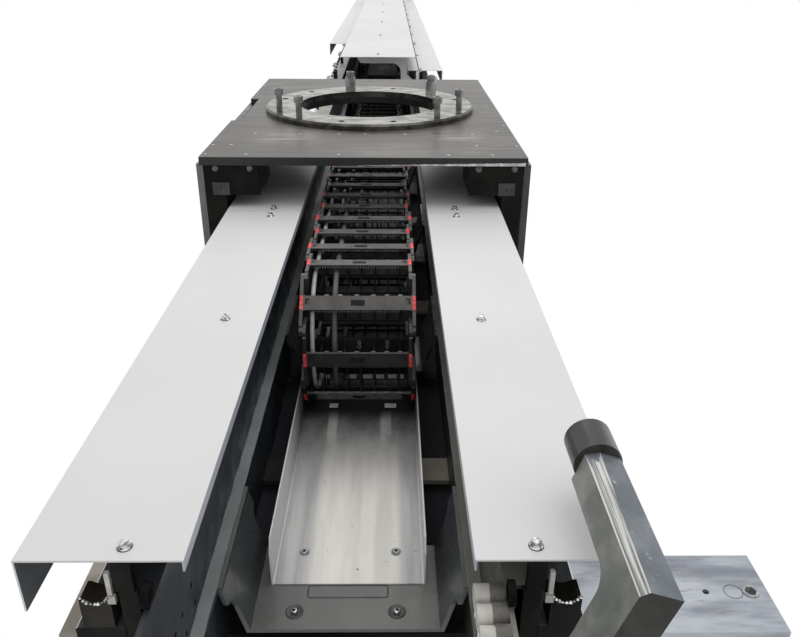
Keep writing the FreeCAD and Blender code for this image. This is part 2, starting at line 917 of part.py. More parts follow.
def strike_pad():
    low = plate_under_z - housing_hang
    outer = pad_inner_x + pad_width
    return box(pad_inner_x, outer, housing_front_y - pad_t, housing_front_y, low, low + pad_height)


def skirt():
    """Right skirt: a sheet with a top flange under the plate and a return at each end."""
    y0 = carriage_front_y + skirt_inset
    y1 = carriage_rear_y - skirt_inset
    inner = skirt_x - skirt_t
    lip = housing_outer_x + roller_inset
    fold_x = skirt_x - skirt_return + skirt_fold
    sheet = box(inner, skirt_x, y0, y1, skirt_bottom_z, plate_under_z)
    flange = box(lip, inner, y0, y1, plate_under_z - skirt_t, plate_under_z)
    front = box(fold_x, inner, y0, y0 + skirt_t, skirt_bottom_z, plate_under_z)
    rear = box(fold_x, inner, y1 - skirt_t, y1, skirt_bottom_z, plate_under_z)
    return fused([sheet, flange, front, rear])


# Drive

def gearbox_low():
    """The drive stands over the pinion, because the rail lies under it."""
    return rack_bottom_z + rack_tooth_run + hub_gap


def drive_outer_x():
    return cover_outer_x - cover_t - flange_gap


def gearbox():
    """Right-angle gearbox over the pinion, with a wide flange that rests on the bracket's posts."""
    low = gearbox_low()
    top = low + gearbox_flange_t
    outer = drive_outer_x()
    flange = box(-outer, -gearbox_inner_x, drive_y - drive_half, drive_y + drive_half, low, top)
    case = box(-outer, -gearbox_inner_x, drive_y - gearbox_half, drive_y + gearbox_half, top, gearbox_top_z)
    uprights = [edge for edge in case.Edges if edge.BoundBox.ZLength > top - low]
    return fused([flange, case.makeFillet(gearbox_flange_t, uprights)])


def motor():
    x = -(gearbox_inner_x + drive_outer_x()) / 2
    half = motor_side / 2
    z = gearbox_top_z - half
    y0 = drive_y + gearbox_half
    flange = box(x - half, x + half, y0, y0 + gearbox_flange_t, z - half, z + half)
    body = rod_y(x, y0 + gearbox_flange_t, y0 + motor_length, z, half - motor_relief)
    cap = box(x - half, x + half, y0 + motor_length, y0 + motor_length + half, z - half, z + half)
    return fused([flange, body, cap])


def drive_bracket():
    """Carries the gearbox from the carriage plate: down outside the cover, in under it and up inside."""
    y0 = drive_y - drive_half
    y1 = drive_y + drive_half
    wall_x = cover_outer_x + arm_gap
    floor_top = arm_floor_z + arm_floor_t
    wall = box(-wall_x - drive_wall_t, -wall_x, y0, y1, arm_floor_z, plate_under_z)
    floor = box(-wall_x, -arm_post_x, y0, y1, arm_floor_z, floor_top)
    across = (-drive_outer_x(), -arm_post_x)
    runs = ((y0, y0 + drive_post_run), (y1 - drive_post_run, y1))
    return fused([wall, floor] + [box(*across, *run, floor_top, gearbox_low()) for run in runs])


# End stops and front fittings

def stop_point(across, up, y):
    """A point on the leaning end stop: across its width, and up its leg from the arm's top corner."""
    x = stop_corner_x + across * math.cos(stop_lean) + up * math.sin(stop_lean)
    z = stop_corner_z - across * math.sin(stop_lean) + up * math.cos(stop_lean)
    return Vector(x, y, z)


def stop_wire(points, y):
    corners = [stop_point(across, up, y) for across, up in points]
    return Part.makePolygon(corners + corners[:1])


def stop_prism(points, y0, y1):
    return Part.Face(stop_wire(points, y0)).extrude(Vector(0, y1 - y0, 0))


def stop_head(flat):
    """The arm's section, with a milled flat of the given width on its upper inner edge."""
    low = -stop_depth
    return [(0, low), (0, -stop_chamfer), (flat, 0), (stop_width, 0), (stop_width, low)]


def end_stop():
    front = frame_front_y - stop_leg_run
    ends = [stop_wire(stop_head(stop_chamfer), front), stop_wire(stop_head(stop_chamfer_rear), stop_arm_rear)]
    arm = Part.makeLoft(ends, True, True)
    leg_top = -stop_chamfer_rear
    leg = [(0, -stop_leg_length), (0, leg_top), (stop_width, leg_top), (stop_width, -stop_leg_length)]
    shank = stop_prism(leg, front, frame_front_y)
    shank = shank.cut(box(0, cover_outer_x, front, frame_front_y, 0, stop_foot_z))
    web = [(0, -stop_depth - stop_fillet), (0, -stop_depth), (stop_width, -stop_depth),
           (stop_width, -stop_depth - stop_fillet)]
    gusset = stop_prism(web, frame_front_y, frame_front_y + stop_fillet)
    centre = stop_point(-stop_width, -stop_depth - stop_fillet, frame_front_y + stop_fillet)
    across = stop_point(1, 0, 0) - stop_point(0, 0, 0)
    gusset = gusset.cut(Part.makeCylinder(stop_fillet, 3 * stop_width, centre, across))
    return fused([arm, shank, gusset])


def stop_buffer():
    centre = stop_point(stop_width / 2, -buffer_drop, 0)
    return rod_y(centre.x, stop_arm_rear, stop_arm_rear + buffer_length, centre.z, buffer_r)


def rail_cradle():
    """A block on the rail's end, with a shallow round notch in its top."""
    low = rail_top_z
    top = low + cradle_height
    block = box(cradle_x, cradle_x + cradle_width, cover_front_y, cover_front_y + cradle_run, low, top)
    centre_x = cradle_x + cradle_width / 2
    notch = rod_y(centre_x, cover_front_y, cover_front_y + cradle_run, top + cradle_r - cradle_sag, cradle_r)
    return block.cut(notch)


def glands():
    pieces = []
    for k in range(gland_count):
        y = gland_first_y + k * gland_pitch
        body = rod_x(web_x - gland_body_length, web_x, y, gland_z, gland_body_r)
        cap = rod_x(gland_x, web_x - gland_body_length, y, gland_z, gland_r)
        pieces.append(fused([body, cap]))
    return pieces


def cable_eye():
    """A round eye that stands on the top edge of the web."""
    z = beam_top_z + eye_r
    outer = web_x + eye_t
    ring = rod_x(web_x, outer, eye_y, z, eye_r).cut(rod_x(web_x, outer, eye_y, z, eye_hole_r))
    foot_top = beam_top_z + eye_foot_t
    foot = box(web_x, outer, eye_y - eye_hole_r, eye_y + eye_hole_r, beam_top_z, foot_top)
    return fused([ring, foot])


def save_frame():
    right = beam()
    save("right_beam", right)
    save("left_beam", other_side(right))
    save("front_floor_plate", front_floor_plate())
    save("floor_plates", *floor_plates())
    save("floor_ties", *floor_ties())
    plug = post_z(plug_x, 0, 0, plate_t, plug_r)
    save("levelling_screws", front_levelling_screw(), plug, *levelling_heads())
    save("saddles", *saddles())
    save("chain_tray", *tray())
    rail = guide_rail()
    save("right_guide_rail", rail)
    save("left_guide_rail", other_side(rail))
    save("gear_rack", *rack())


def save_covers():
    gap = max(right_covers_missing)
    front = [k for k in range(cover_count) if k not in right_covers_missing and k < gap]
    rear = [k for k in range(cover_count) if k > gap]
    save("right_front_covers", *[cover(k) for k in front])
    save("right_rear_covers", *[cover(k) for k in rear])
    gap = max(left_covers_missing)
    front = [k for k in range(cover_count) if k not in left_covers_missing and k < gap]
    rear = [k for k in range(cover_count) if k > gap]
    save("left_front_covers", *[other_side(cover(k)) for k in front])
    save("left_rear_covers", *[other_side(cover(k)) for k in rear])
    posts = post_rows() + [front_post(), other_end(front_post())]
    save("cover_posts", *(posts + [other_side(post) for post in posts]))
    save("channel_roof", *[roof_sheet(k) for k in range(roof_count)])
    save("roof_brackets", *[roof_bracket(y) for y in roof_places()])


def save_ends():
    stop = end_stop()
    save("front_end_stop", stop)
    save("rear_end_stop", other_end(stop))
    rubber = stop_buffer()
    save("front_buffer", rubber)
    save("rear_buffer", other_end(rubber))
    cradle = rail_cradle()
    cradles = [cradle, other_side(cradle)]
    save("front_rail_blocks", *cradles)
    save("rear_rail_blocks", *[other_end(block) for block in cradles])
    eye = cable_eye()
    save("cable_fittings", *glands(), eye, other_side(eye))


def save_chain():
    save("chain_lower_run", *lower_run())
    save("chain_bend", *bend_run())
    save("chain_upper_run", *upper_run())
    hoses = ((thin_hose_x, thin_hose_r), (thick_hose_x, thick_hose_r))
    lower_end = fixed_end_y + link_overlap
    save("hoses_lower_run", *[hose_run(*hose, lower_end, lower_chain_z) for hose in hoses])
    save("hoses_bend", *[hose_bend(*hose) for hose in hoses])
    upper_end = moving_end_y + link_overlap
    save("hoses_upper_run", *[hose_run(*hose, upper_end, upper_chain_z) for hose in hoses])
    save("chain_anchor_fixed", chain_anchor_fixed())
    save("chain_anchor_moving", chain_anchor_moving())


def save_carriage():
    save("carriage_plate", carriage_plate())
    save("robot_ring", robot_ring())
    save("ring_screws", *ring_screws())
    save("ring_sleeves", *ring_sleeves())
    pads = [strike_pad(), other_side(strike_pad())]
    save("strike_pads", *(pads + [rear_corner(pad) for pad in pads]))
    sheet = skirt()
    save("right_skirt", sheet)
    save("left_skirt", other_side(sheet))
    save("gearbox", gearbox())
    save("servo_motor", motor())
    save("drive_bracket", drive_bracket())
    save("pinion", pinion())


def save_corners():
    group = {
        "roller_housing": housing(),
        "load_roller": flat_roller(load_r, roller_y(load_y), load_z()),
        "under_roller": flat_roller(under_r, roller_y(load_y), under_z()),
        "side_roller": side_roller(),
    }
    for name, shape in group.items():
        save(name + "_front_right", shape)
        save(name + "_front_left", other_side(shape))
        save(name + "_rear_right", rear_corner(shape))
        save(name + "_rear_left", rear_corner(other_side(shape)))


def report_places():
    """Values that a person needs when describing how the parts move and where they mount."""
    print("travel", round(travel_back, 1), round(travel_ahead, 1))
    print("moving end", round(moving_end_y, 1), "fixed end", round(fixed_end_y, 1))
    print("bend radius", round(bend_r, 2), "chain top", round(chain_top_z, 1))
    print("pinion", round(pinion_x, 2), drive_y, "radius", pinion_r)
    print("rollers", round(load_z(), 2), round(under_z(), 2), round(side_x(), 2), roller_span())
    print("track", frame_front_y, frame_rear_y, track_middle_y)


os.makedirs("parts", exist_ok=True)
save_frame()
save_covers()
save_ends()
save_chain()
save_carriage()
save_corners()
report_places()
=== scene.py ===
import math
import random

import bpy
from mathutils import Matrix, Vector


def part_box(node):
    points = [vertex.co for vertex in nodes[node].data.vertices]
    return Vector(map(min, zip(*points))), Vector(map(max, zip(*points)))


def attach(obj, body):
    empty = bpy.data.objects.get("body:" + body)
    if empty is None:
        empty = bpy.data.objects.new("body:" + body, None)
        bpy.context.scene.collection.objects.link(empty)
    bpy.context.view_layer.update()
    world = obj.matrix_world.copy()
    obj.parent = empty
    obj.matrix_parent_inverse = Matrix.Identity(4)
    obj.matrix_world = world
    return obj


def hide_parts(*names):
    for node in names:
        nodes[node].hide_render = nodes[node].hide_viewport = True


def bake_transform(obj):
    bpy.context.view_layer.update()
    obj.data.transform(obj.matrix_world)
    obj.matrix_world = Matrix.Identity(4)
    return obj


# Looks of the robot linear track. Metres, in the CAD part's frame: +Y runs along the track,
# +Z is up, and the origin is on the floor under the front floor plate.

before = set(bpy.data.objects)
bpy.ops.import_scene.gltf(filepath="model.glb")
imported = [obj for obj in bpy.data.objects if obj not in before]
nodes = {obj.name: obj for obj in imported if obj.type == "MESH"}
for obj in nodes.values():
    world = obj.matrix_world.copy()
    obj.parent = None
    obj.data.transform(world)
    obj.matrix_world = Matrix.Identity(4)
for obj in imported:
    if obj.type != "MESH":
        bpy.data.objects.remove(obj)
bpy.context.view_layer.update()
random.seed(7)

# Camera, from the photograph: a pinhole whose focal length is in picture widths
PICTURE_WIDTH = 800
FOCAL_PX = 765.1
SENSOR_MM = 36.0
CAMERA_AT = Vector((0.0847, -1.2031, 1.2545))
PITCH = 0.4541
YAW = 0.0147
ROLL = -0.008

# Places of the CAD nodes
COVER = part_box("right_front_covers")
COVER_TOP = COVER[1].z
COVER_FRONT = COVER[0].y
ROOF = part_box("channel_roof")
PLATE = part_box("carriage_plate")
CARRIAGE_MIDDLE = (PLATE[0].y + PLATE[1].y) / 2
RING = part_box("robot_ring")
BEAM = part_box("right_beam")
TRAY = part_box("chain_tray")
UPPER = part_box("chain_upper_run")
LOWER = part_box("chain_lower_run")
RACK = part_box("gear_rack")
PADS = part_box("strike_pads")
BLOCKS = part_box("front_rail_blocks")
HOUSING_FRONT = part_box("roller_housing_front_right")[0].y

# Sizes that the looks share with the CAD part. Open segments are those that have no cover.
COVER_LENGTH = 1.576
COVER_COUNT = 8
RIGHT_OPEN = (2,)
LEFT_OPEN = (2, 3)
COVER_BOLT_X = 0.298
COVER_BOLT_FIRST = 0.028
COVER_BOLT_PITCH = 0.750
ROOF_BOLT_FIRST = 0.125
ROOF_BOLT_PITCH = 1.250
COVER_OUTER_X = 0.44
COVER_LIP_X = 0.2098
BEAM_TOP_ABOVE = 0.40
WEB_X = 0.253
LEDGE_Z = 0.204
FLOOR_PLATE_TOP = 0.020
FRONT_PLATE_REAR = 0.3
PLUG_X = 0.818
PLUG_R = 0.0196
PLUG_SIDE = 0.838
PILOT_X = 0.759
PILOT_R = 0.0069
SADDLE_FLOOR = 0.065
TRAY_T = 0.003
GLAND_SPLIT_X = 0.2305
GLAND_MOUTH_Z = 0.4125
LINK_PITCH = 0.128
PLATE_T = 0.009

# Sizes and places that only the looks have. The places are read off the photograph.
SMOOTH_ANGLE = math.radians(32)
MARK_T = 0.0004
SCREWS_EACH = 3
ROOF_SCREWS = 7
NEAR_END = 2.8
WASHER_R = 0.0106
WASHER_T = 0.0026
WASHER_SHADOW_R = 0.0114
HEAD_ACROSS = 0.0145
HEAD_H = 0.0080
LEDGE_LIP_X = 0.2287
LEDGE_FOOT_X = 0.2522
WEB_HOLE_R = 0.0048
WEB_HOLES = ((-0.227, 0.272), (-0.220, 0.224), (-0.290, 0.270), (-0.283, 0.221), (-0.3325, 0.2725))
TRAY_SCREWS = ((-0.100, 0.070), (0.099, 0.070))
TRAY_HEAD = ((0.0088, 0), (0.0088, 0.0016), (0.0072, 0.0034), (0.0038, 0.004))
SOCKET_T = 0.0003
SADDLE_STUDS = ((-0.1035, -0.0935), (0.0995, -0.0935))
STUD = ((0.0076, 0), (0.0076, 0.0045), (0.0054, 0.0065), (0.0026, 0.0073))
DISH = ((0.0178, 0), (0.0178, 0.0010), (0.0158, 0.0020), (0.0100, 0.0006))
FRAME_X = (-0.083, 0.083)
FRAME_Y = (-0.058, -0.0225)
SCREW_ROWS = ((1.580, (-0.402, -0.240, -0.100, -0.007, 0.138, 0.383)),
              (1.275, (-0.517, -0.385, -0.083, 0.276, 0.420)),
              (1.404, (-0.518, -0.456, 0.380, 0.518)))
LONE_SCREWS = ((0.478, 1.633), (0.516, 1.732), (0.444, 2.109), (0.489, 2.109), (0.518, 2.427),
               (-0.484, 2.196), (-0.518, 2.617), (-0.518, 2.394))
BOLT_R = 0.0105
BOLT_H = 0.0045
BOLT_Z = 0.6005
FLUSH_H = 0.0008
EDGE_STEPS = 59
EDGE_STEP = 0.008
RAGGED = 0.0009
PAD_MARK_X = 0.4675
PAD_MARK_Z = 0.533
BEADS_EACH = 9
BEAD_FIRST = 215
BEAD_STEP = 13.75
BEAD_ARC = (0.0235, 0.0265)
BEAD_X = 0.345
BEAD_RISE = 0.021
RACK_BOLT_X = -0.330
RACK_BOLT_FIRST = 0.07
RACK_BOLT_PITCH = 0.15
RACK_BOLT_R = 0.0065
RACK_BOLT_H = 0.011
CLIP_X = (0.263, 0.305)
CLIP_Y = (4.300, 4.330)
CLIP_TOP = 0.466
ROOF_GAP_X = (0.2815, 0.2875)


# Mesh pieces: each function gives (corners, faces)

def block(x0, x1, y0, y1, z0, z1):
    """A box between two limits on each axis."""
    corners = [(x, y, z) for z in (z0, z1) for y in (y0, y1) for x in (x0, x1)]
    faces = [(0, 2, 3, 1), (4, 5, 7, 6), (0, 1, 5, 4), (2, 6, 7, 3), (0, 4, 6, 2), (1, 3, 7, 5)]
    return corners, faces


def lathe(profile, centre, axis="z", turns=28):
    """A closed revolve of (radius, height) points about an axis through the centre."""
    corners = []
    for radius, height in profile:
        for i in range(turns):
            a = 2 * math.pi * i / turns
            c, s = radius * math.cos(a), radius * math.sin(a)
            place = {"x": (height, c, s), "y": (s, height, c), "z": (c, s, height)}[axis]
            corners.append(tuple(p + q for p, q in zip(place, centre)))
    faces = []
    for j in range(len(profile) - 1):
        for i in range(turns):
            k = (i + 1) % turns
            faces.append((j * turns + i, j * turns + k, (j + 1) * turns + k, (j + 1) * turns + i))
    faces.append(tuple(reversed(range(turns))))
    faces.append(tuple(range((len(profile) - 1) * turns, len(profile) * turns)))
    return corners, faces


def rod(radius, length, centre, axis="z", turns=24, ease=0.0):
    """A round bar or disc along an axis, with eased ends if asked."""
    profile = [(radius - ease, 0), (radius, ease), (radius, length - ease), (radius - ease, length)]
    if not ease:
        profile = [(radius, 0), (radius, length)]
    return lathe(profile, centre, axis, turns)


def ring_band(inner, outer, height, centre, axis="z", turns=40):
    """A flat washer or tube, open in the middle."""
    profile = [(inner, 0), (outer, 0), (outer, height), (inner, height), (inner, 0)]
    corners, faces = lathe(profile, centre, axis, turns)
    return corners, faces[:-2]


def hex_head(centre, across, height):
    """A hexagonal head with an eased top."""
    reach = across / math.sqrt(3)
    return lathe([(reach, 0), (reach, height * 0.75), (reach * 0.86, height)], centre, "z", 6)


def prism(points, low, high):
    """An outline of (y, z) points pushed along X."""
    n = len(points)
    corners = [(x, y, z) for x in (low, high) for y, z in points]
    faces = [tuple(reversed(range(n))), tuple(range(n, 2 * n))]
    faces += [(i, (i + 1) % n, n + (i + 1) % n, n + i) for i in range(n)]
    return corners, faces


def moved(piece, turn, centre):
    """The piece turned about the X axis and carried to the centre."""
    c, s = math.cos(turn), math.sin(turn)
    to_x, to_y, to_z = centre
    corners = [(x + to_x, y * c - z * s + to_y, y * s + z * c + to_z) for x, y, z in piece[0]]
    return corners, piece[1]


def mirrored(piece):
    """The piece on the other side of the middle plane."""
    return [(-x, y, z) for x, y, z in piece[0]], [tuple(reversed(f)) for f in piece[1]]


def far_end(piece, middle):
    """The piece mirrored along the track about a middle."""
    corners = [(x, 2 * middle - y, z) for x, y, z in piece[0]]
    return corners, [tuple(reversed(f)) for f in piece[1]]


def flipped(piece):
    """The piece upside down."""
    return [(x, y, -z) for x, y, z in piece[0]], [tuple(reversed(f)) for f in piece[1]]


def build(name, pieces, material, body=None, bevel=0.0, more=()):
    """One mesh object from several pieces. More holds (pieces, material) pairs for further materials."""
    corners, faces, slots = [], [], []
    groups = [(pieces, material), *more]
    for slot, (found, _) in enumerate(groups):
        for piece in found:
            start = len(corners)
            corners += piece[0]
            faces += [tuple(i + start for i in f) for f in piece[1]]
            slots += [slot] * len(piece[1])
    mesh = bpy.data.meshes.new(name)
    mesh.from_pydata(corners, [], faces)
    for _, look in groups:
        mesh.materials.append(look)
    mesh.polygons.foreach_set("material_index", slots)
    mesh.polygons.foreach_set("use_smooth", [True] * len(mesh.polygons))
    mesh.set_sharp_from_angle(angle=SMOOTH_ANGLE)
    obj = bpy.data.objects.new(name, mesh)
    bpy.context.scene.collection.objects.link(obj)
    if bevel:
        modifier = obj.modifiers.new("edges", "BEVEL")
        modifier.width = bevel
        modifier.segments = 2
        modifier.limit_method = "ANGLE"
    if body:
        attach(obj, body)
    return obj


# Finishes: each is a node tree that mixes two tones over the object's own coordinates

def new_material(name):
    """A material with its tree and shader."""
    material = bpy.data.materials.new(name)
    material.use_nodes = True
    tree = material.node_tree
    return material, tree, tree.nodes["Principled BSDF"]


def noise(tree, coords, scale, detail=4.0, rough=0.55):
    """A noise value over the coordinates."""
    node = tree.nodes.new("ShaderNodeTexNoise")
    node.inputs["Scale"].default_value = scale
    node.inputs["Detail"].default_value = detail
    node.inputs["Roughness"].default_value = rough
    tree.links.new(coords, node.inputs["Vector"])
    return node.outputs["Fac"]


def span(tree, value, low, high, to_low=0.0, to_high=1.0):
    """The value eased from one range to another."""
    node = tree.nodes.new("ShaderNodeMapRange")
    node.interpolation_type = "SMOOTHSTEP"
    node.inputs["From Min"].default_value = low
    node.inputs["From Max"].default_value = high
    node.inputs["To Min"].default_value = to_low
    node.inputs["To Max"].default_value = to_high
    tree.links.new(value, node.inputs["Value"])
    return node.outputs["Result"]


def mixed(tree, factor, first, second):
    """Two colours, written or linked, mixed by a factor."""
    node = tree.nodes.new("ShaderNodeMix")
    node.data_type = "RGBA"
    tree.links.new(factor, node.inputs["Factor"])
    for value, slot in ((first, node.inputs["A"]), (second, node.inputs["B"])):
        if isinstance(value, tuple):
            slot.default_value = (*value, 1)
        else:
            tree.links.new(value, slot)
    return node.outputs["Result"]


def sums(tree, operation, *values):
    """A maths node over numbers and links."""
    node = tree.nodes.new("ShaderNodeMath")
    node.operation = operation
    for value, slot in zip(values, node.inputs):
        if isinstance(value, (int, float)):
            slot.default_value = value
        else:
            tree.links.new(value, slot)
    return node.outputs["Value"]


def split(tree, vector):
    """The X, Y and Z outputs of a vector."""
    parts = tree.nodes.new("ShaderNodeSeparateXYZ")
    tree.links.new(vector, parts.inputs["Vector"])
    return parts.outputs


def stretched(tree, stretch=(1, 1, 1)):
    """The object's own coordinates, in metres, scaled along each axis."""
    place = tree.nodes.new("ShaderNodeTexCoord")
    mapping = tree.nodes.new("ShaderNodeMapping")
    mapping.inputs["Scale"].default_value = stretch
    tree.links.new(place.outputs["Object"], mapping.inputs["Vector"])
    return mapping.outputs["Vector"]


def facing(tree, axis, low, high):
    """How far a surface faces along an axis, such as up; the finishes use it to paint faces that look up
    lighter, as painted light from above, and the dark plate uses it for its brushed top.
    """
    place = tree.nodes.new("ShaderNodeNewGeometry")
    return span(tree, split(tree, place.outputs["Normal"])[axis], low, high)


def eased_edges(tree, radius):
    """A normal that rounds the edges to the eye."""
    bevel = tree.nodes.new("ShaderNodeBevel")
    bevel.samples = 4
    bevel.inputs["Radius"].default_value = radius
    return bevel.outputs["Normal"]


def dress(tree, shader, colour, rough, shine, metal=0.0):
    """Gives the shader its colour, its roughness as a number or a link, its gloss and its metal."""
    tree.links.new(colour, shader.inputs["Base Color"])
    if isinstance(rough, float):
        shader.inputs["Roughness"].default_value = rough
    else:
        tree.links.new(rough, shader.inputs["Roughness"])
    shader.inputs["Specular IOR Level"].default_value = shine
    shader.inputs["Metallic"].default_value = metal


def finish(name, tone, second, scale=6.0, stretch=(1, 1, 1), band=(0.4, 0.65), rough=(0.35, 0.5),
           metal=0.0, bump=0.0, bump_scale=300.0, specks=None, speck_band=(0.66, 0.7), speck_scale=90.0,
           edge=0.0, coat=0.0, shine=0.5, upper=None, upper_band=(0.35, 0.8)):
    """Two tones in soft patches. Upper holds lighter tones for faces that look up, as painted light from
    above. Specks are a third tone.
    """
    material, tree, shader = new_material(name)
    coords = stretched(tree, stretch)
    broad = noise(tree, coords, scale)
    blotch = span(tree, broad, *band)
    colour = mixed(tree, blotch, tone, second)
    if upper:
        colour = mixed(tree, facing(tree, "Z", *upper_band), colour, mixed(tree, blotch, *upper))
    if specks:
        fine = noise(tree, coords, speck_scale, 6.0, 0.65)
        colour = mixed(tree, span(tree, fine, *speck_band), colour, specks)
    patch = noise(tree, coords, scale * 3.1, 5.0)
    dress(tree, shader, colour, span(tree, patch, 0.3, 0.7, *rough), shine, metal)
    shader.inputs["Coat Weight"].default_value = coat
    normal = eased_edges(tree, edge) if edge else None
    if bump:
        grain = tree.nodes.new("ShaderNodeBump")
        grain.inputs["Strength"].default_value = bump
        grain.inputs["Distance"].default_value = 0.001
        tree.links.new(noise(tree, coords, bump_scale, 3.0), grain.inputs["Height"])
        if normal:
            tree.links.new(normal, grain.inputs["Normal"])
        normal = grain.outputs["Normal"]
    if normal:
        tree.links.new(normal, shader.inputs["Normal"])
    return material


# The upper tones of the beams, the saddle, the black paint and the chain are painted light on faces that look
# up.
cover_paint = finish("cover_paint", (0.69, 0.685, 0.685), (0.725, 0.72, 0.715), 1.3, rough=(0.38, 0.46),
                     bump=0.05, bump_scale=900, edge=0.0015, shine=0.35)
cover_lip = finish("cover_lip", (0.40, 0.435, 0.49), (0.52, 0.55, 0.60), 3, (1, 0.3, 1), shine=0.3)
# The undersides and inner wall faces of the covers are painted darker as painted shade.
cover_shaded_under = finish("cover_shaded_under", (0.15, 0.165, 0.175), (0.24, 0.26, 0.275), 3, rough=(0.4, 0.55),
                     shine=0.2)
# The left beam's dark paint is tinted blue as a painted reflection; the right beam's paint is not.
beam_left_blue_sheen = finish("beam_left_blue_sheen", (0.020, 0.025, 0.032), (0.036, 0.042, 0.052), 5, rough=(0.28, 0.5), shine=0.3,
                   specks=(0.20, 0.22, 0.23), speck_band=(0.70, 0.73), edge=0.0015,
                   upper=((0.24, 0.26, 0.265), (0.30, 0.32, 0.325)))
beam_right = finish("beam_right", (0.030, 0.030, 0.026), (0.048, 0.047, 0.041), 5, rough=(0.28, 0.5),
                    shine=0.3, specks=(0.20, 0.20, 0.18), speck_band=(0.70, 0.73), edge=0.0015,
                    upper=((0.16, 0.156, 0.135), (0.21, 0.204, 0.18)))
rack_steel = finish("rack_steel", (0.20, 0.20, 0.195), (0.29, 0.29, 0.28), 20, rough=(0.3, 0.45), metal=0.4)
saddle_paint = finish("saddle_paint", (0.056, 0.063, 0.066), (0.076, 0.085, 0.088), 5, rough=(0.2, 0.42),
                      coat=0.2, specks=(0.22, 0.23, 0.21), speck_band=(0.71, 0.75), speck_scale=150,
                      edge=0.002, bump=0.03, bump_scale=60,
                      upper=((0.12, 0.125, 0.118), (0.165, 0.165, 0.15)))
saddle_line = finish("saddle_line", (0.045, 0.052, 0.050), (0.065, 0.072, 0.070), 20, rough=(0.3, 0.45))
zinc_bolt = finish("zinc_bolt", (0.24, 0.24, 0.235), (0.80, 0.80, 0.79), 110, band=(0.42, 0.56),
                   rough=(0.12, 0.3), metal=0.9)
far_zinc = finish("far_zinc", (0.42, 0.42, 0.415), (0.60, 0.60, 0.59), 60, rough=(0.3, 0.45), metal=0.3)
ground_steel = finish("ground_steel", (0.42, 0.42, 0.43), (0.58, 0.58, 0.59), 20, (1, 0.1, 1),
                      rough=(0.22, 0.4), metal=0.9)
ring_steel = finish("ring_steel", (0.065, 0.062, 0.054), (0.32, 0.31, 0.275), 14, (1, 1.6, 1), (0.36, 0.62),
                    rough=(0.12, 0.34), metal=0.95, specks=(0.05, 0.048, 0.045), speck_band=(0.62, 0.68),
                    speck_scale=45)
ring_side = finish("ring_side", (0.035, 0.033, 0.03), (0.10, 0.095, 0.09), 20, rough=(0.25, 0.4), metal=0.7)
bare_edge = finish("bare_edge", (0.34, 0.34, 0.34), (0.60, 0.60, 0.60), 40, (1, 1, 0.3), rough=(0.25, 0.4),
                   metal=0.8)
black_paint = finish("black_paint", (0.005, 0.0052, 0.005), (0.012, 0.0115, 0.010), 8, rough=(0.45, 0.6),
                     edge=0.0015, shine=0.08, upper=((0.016, 0.015, 0.013), (0.028, 0.026, 0.022)))
block_brown = finish("block_brown", (0.016, 0.0145, 0.012), (0.034, 0.031, 0.026), 8, rough=(0.45, 0.6),
                     shine=0.1)
# One skirt finish in two copies: lighter on the left as painted light, darker on the right as painted shade.
skirt_left_lit = finish("skirt_left_lit", (0.115, 0.12, 0.128), (0.16, 0.166, 0.175), 5, edge=0.001, shine=0.3)
skirt_right_shaded = finish("skirt_right_shaded", (0.050, 0.050, 0.048), (0.075, 0.075, 0.072), 5, edge=0.001, shine=0.3)
stop_steel = finish("stop_steel", (0.19, 0.20, 0.185), (0.30, 0.31, 0.29), 12, rough=(0.35, 0.6), metal=0.35,
                    specks=(0.33, 0.34, 0.33), speck_band=(0.62, 0.74), speck_scale=50)
stop_blue = finish("stop_blue", (0.125, 0.143, 0.162), (0.20, 0.22, 0.245), 12, rough=(0.35, 0.6), metal=0.35,
                   specks=(0.42, 0.44, 0.47), speck_band=(0.6, 0.72), speck_scale=50)
stop_end = finish("stop_end", (0.013, 0.0125, 0.0105), (0.026, 0.025, 0.021), 18, rough=(0.35, 0.55),
                  shine=0.3)
milled = finish("milled", (0.15, 0.155, 0.15), (0.60, 0.605, 0.58), 30, (16, 0.05, 16), (0.36, 0.56),
                metal=0.25)
level_steel = finish("level_steel", (0.30, 0.31, 0.32), (0.46, 0.47, 0.48), 60, rough=(0.3, 0.45), metal=0.5)
rubber = finish("rubber", (0.020, 0.019, 0.018), (0.044, 0.041, 0.038), 14, (3, 0.3, 3), rough=(0.22, 0.42),
                bump=0.1)
chain_black = finish("chain_black", (0.020, 0.020, 0.020), (0.030, 0.030, 0.030), 20, rough=(0.4, 0.55),
                     edge=0.001, shine=0.25, upper=((0.105, 0.100, 0.094), (0.140, 0.133, 0.126)),
                     upper_band=(0.15, 0.9))
# Darker chain plastic: painted shade inside the links and in their sunk marks.
chain_shade = finish("chain_shade", (0.014, 0.0135, 0.013), (0.024, 0.023, 0.022), 20, rough=(0.5, 0.65),
                    shine=0.1)
chain_tab = finish("chain_tab", (0.15, 0.15, 0.145), (0.24, 0.24, 0.23), 40)
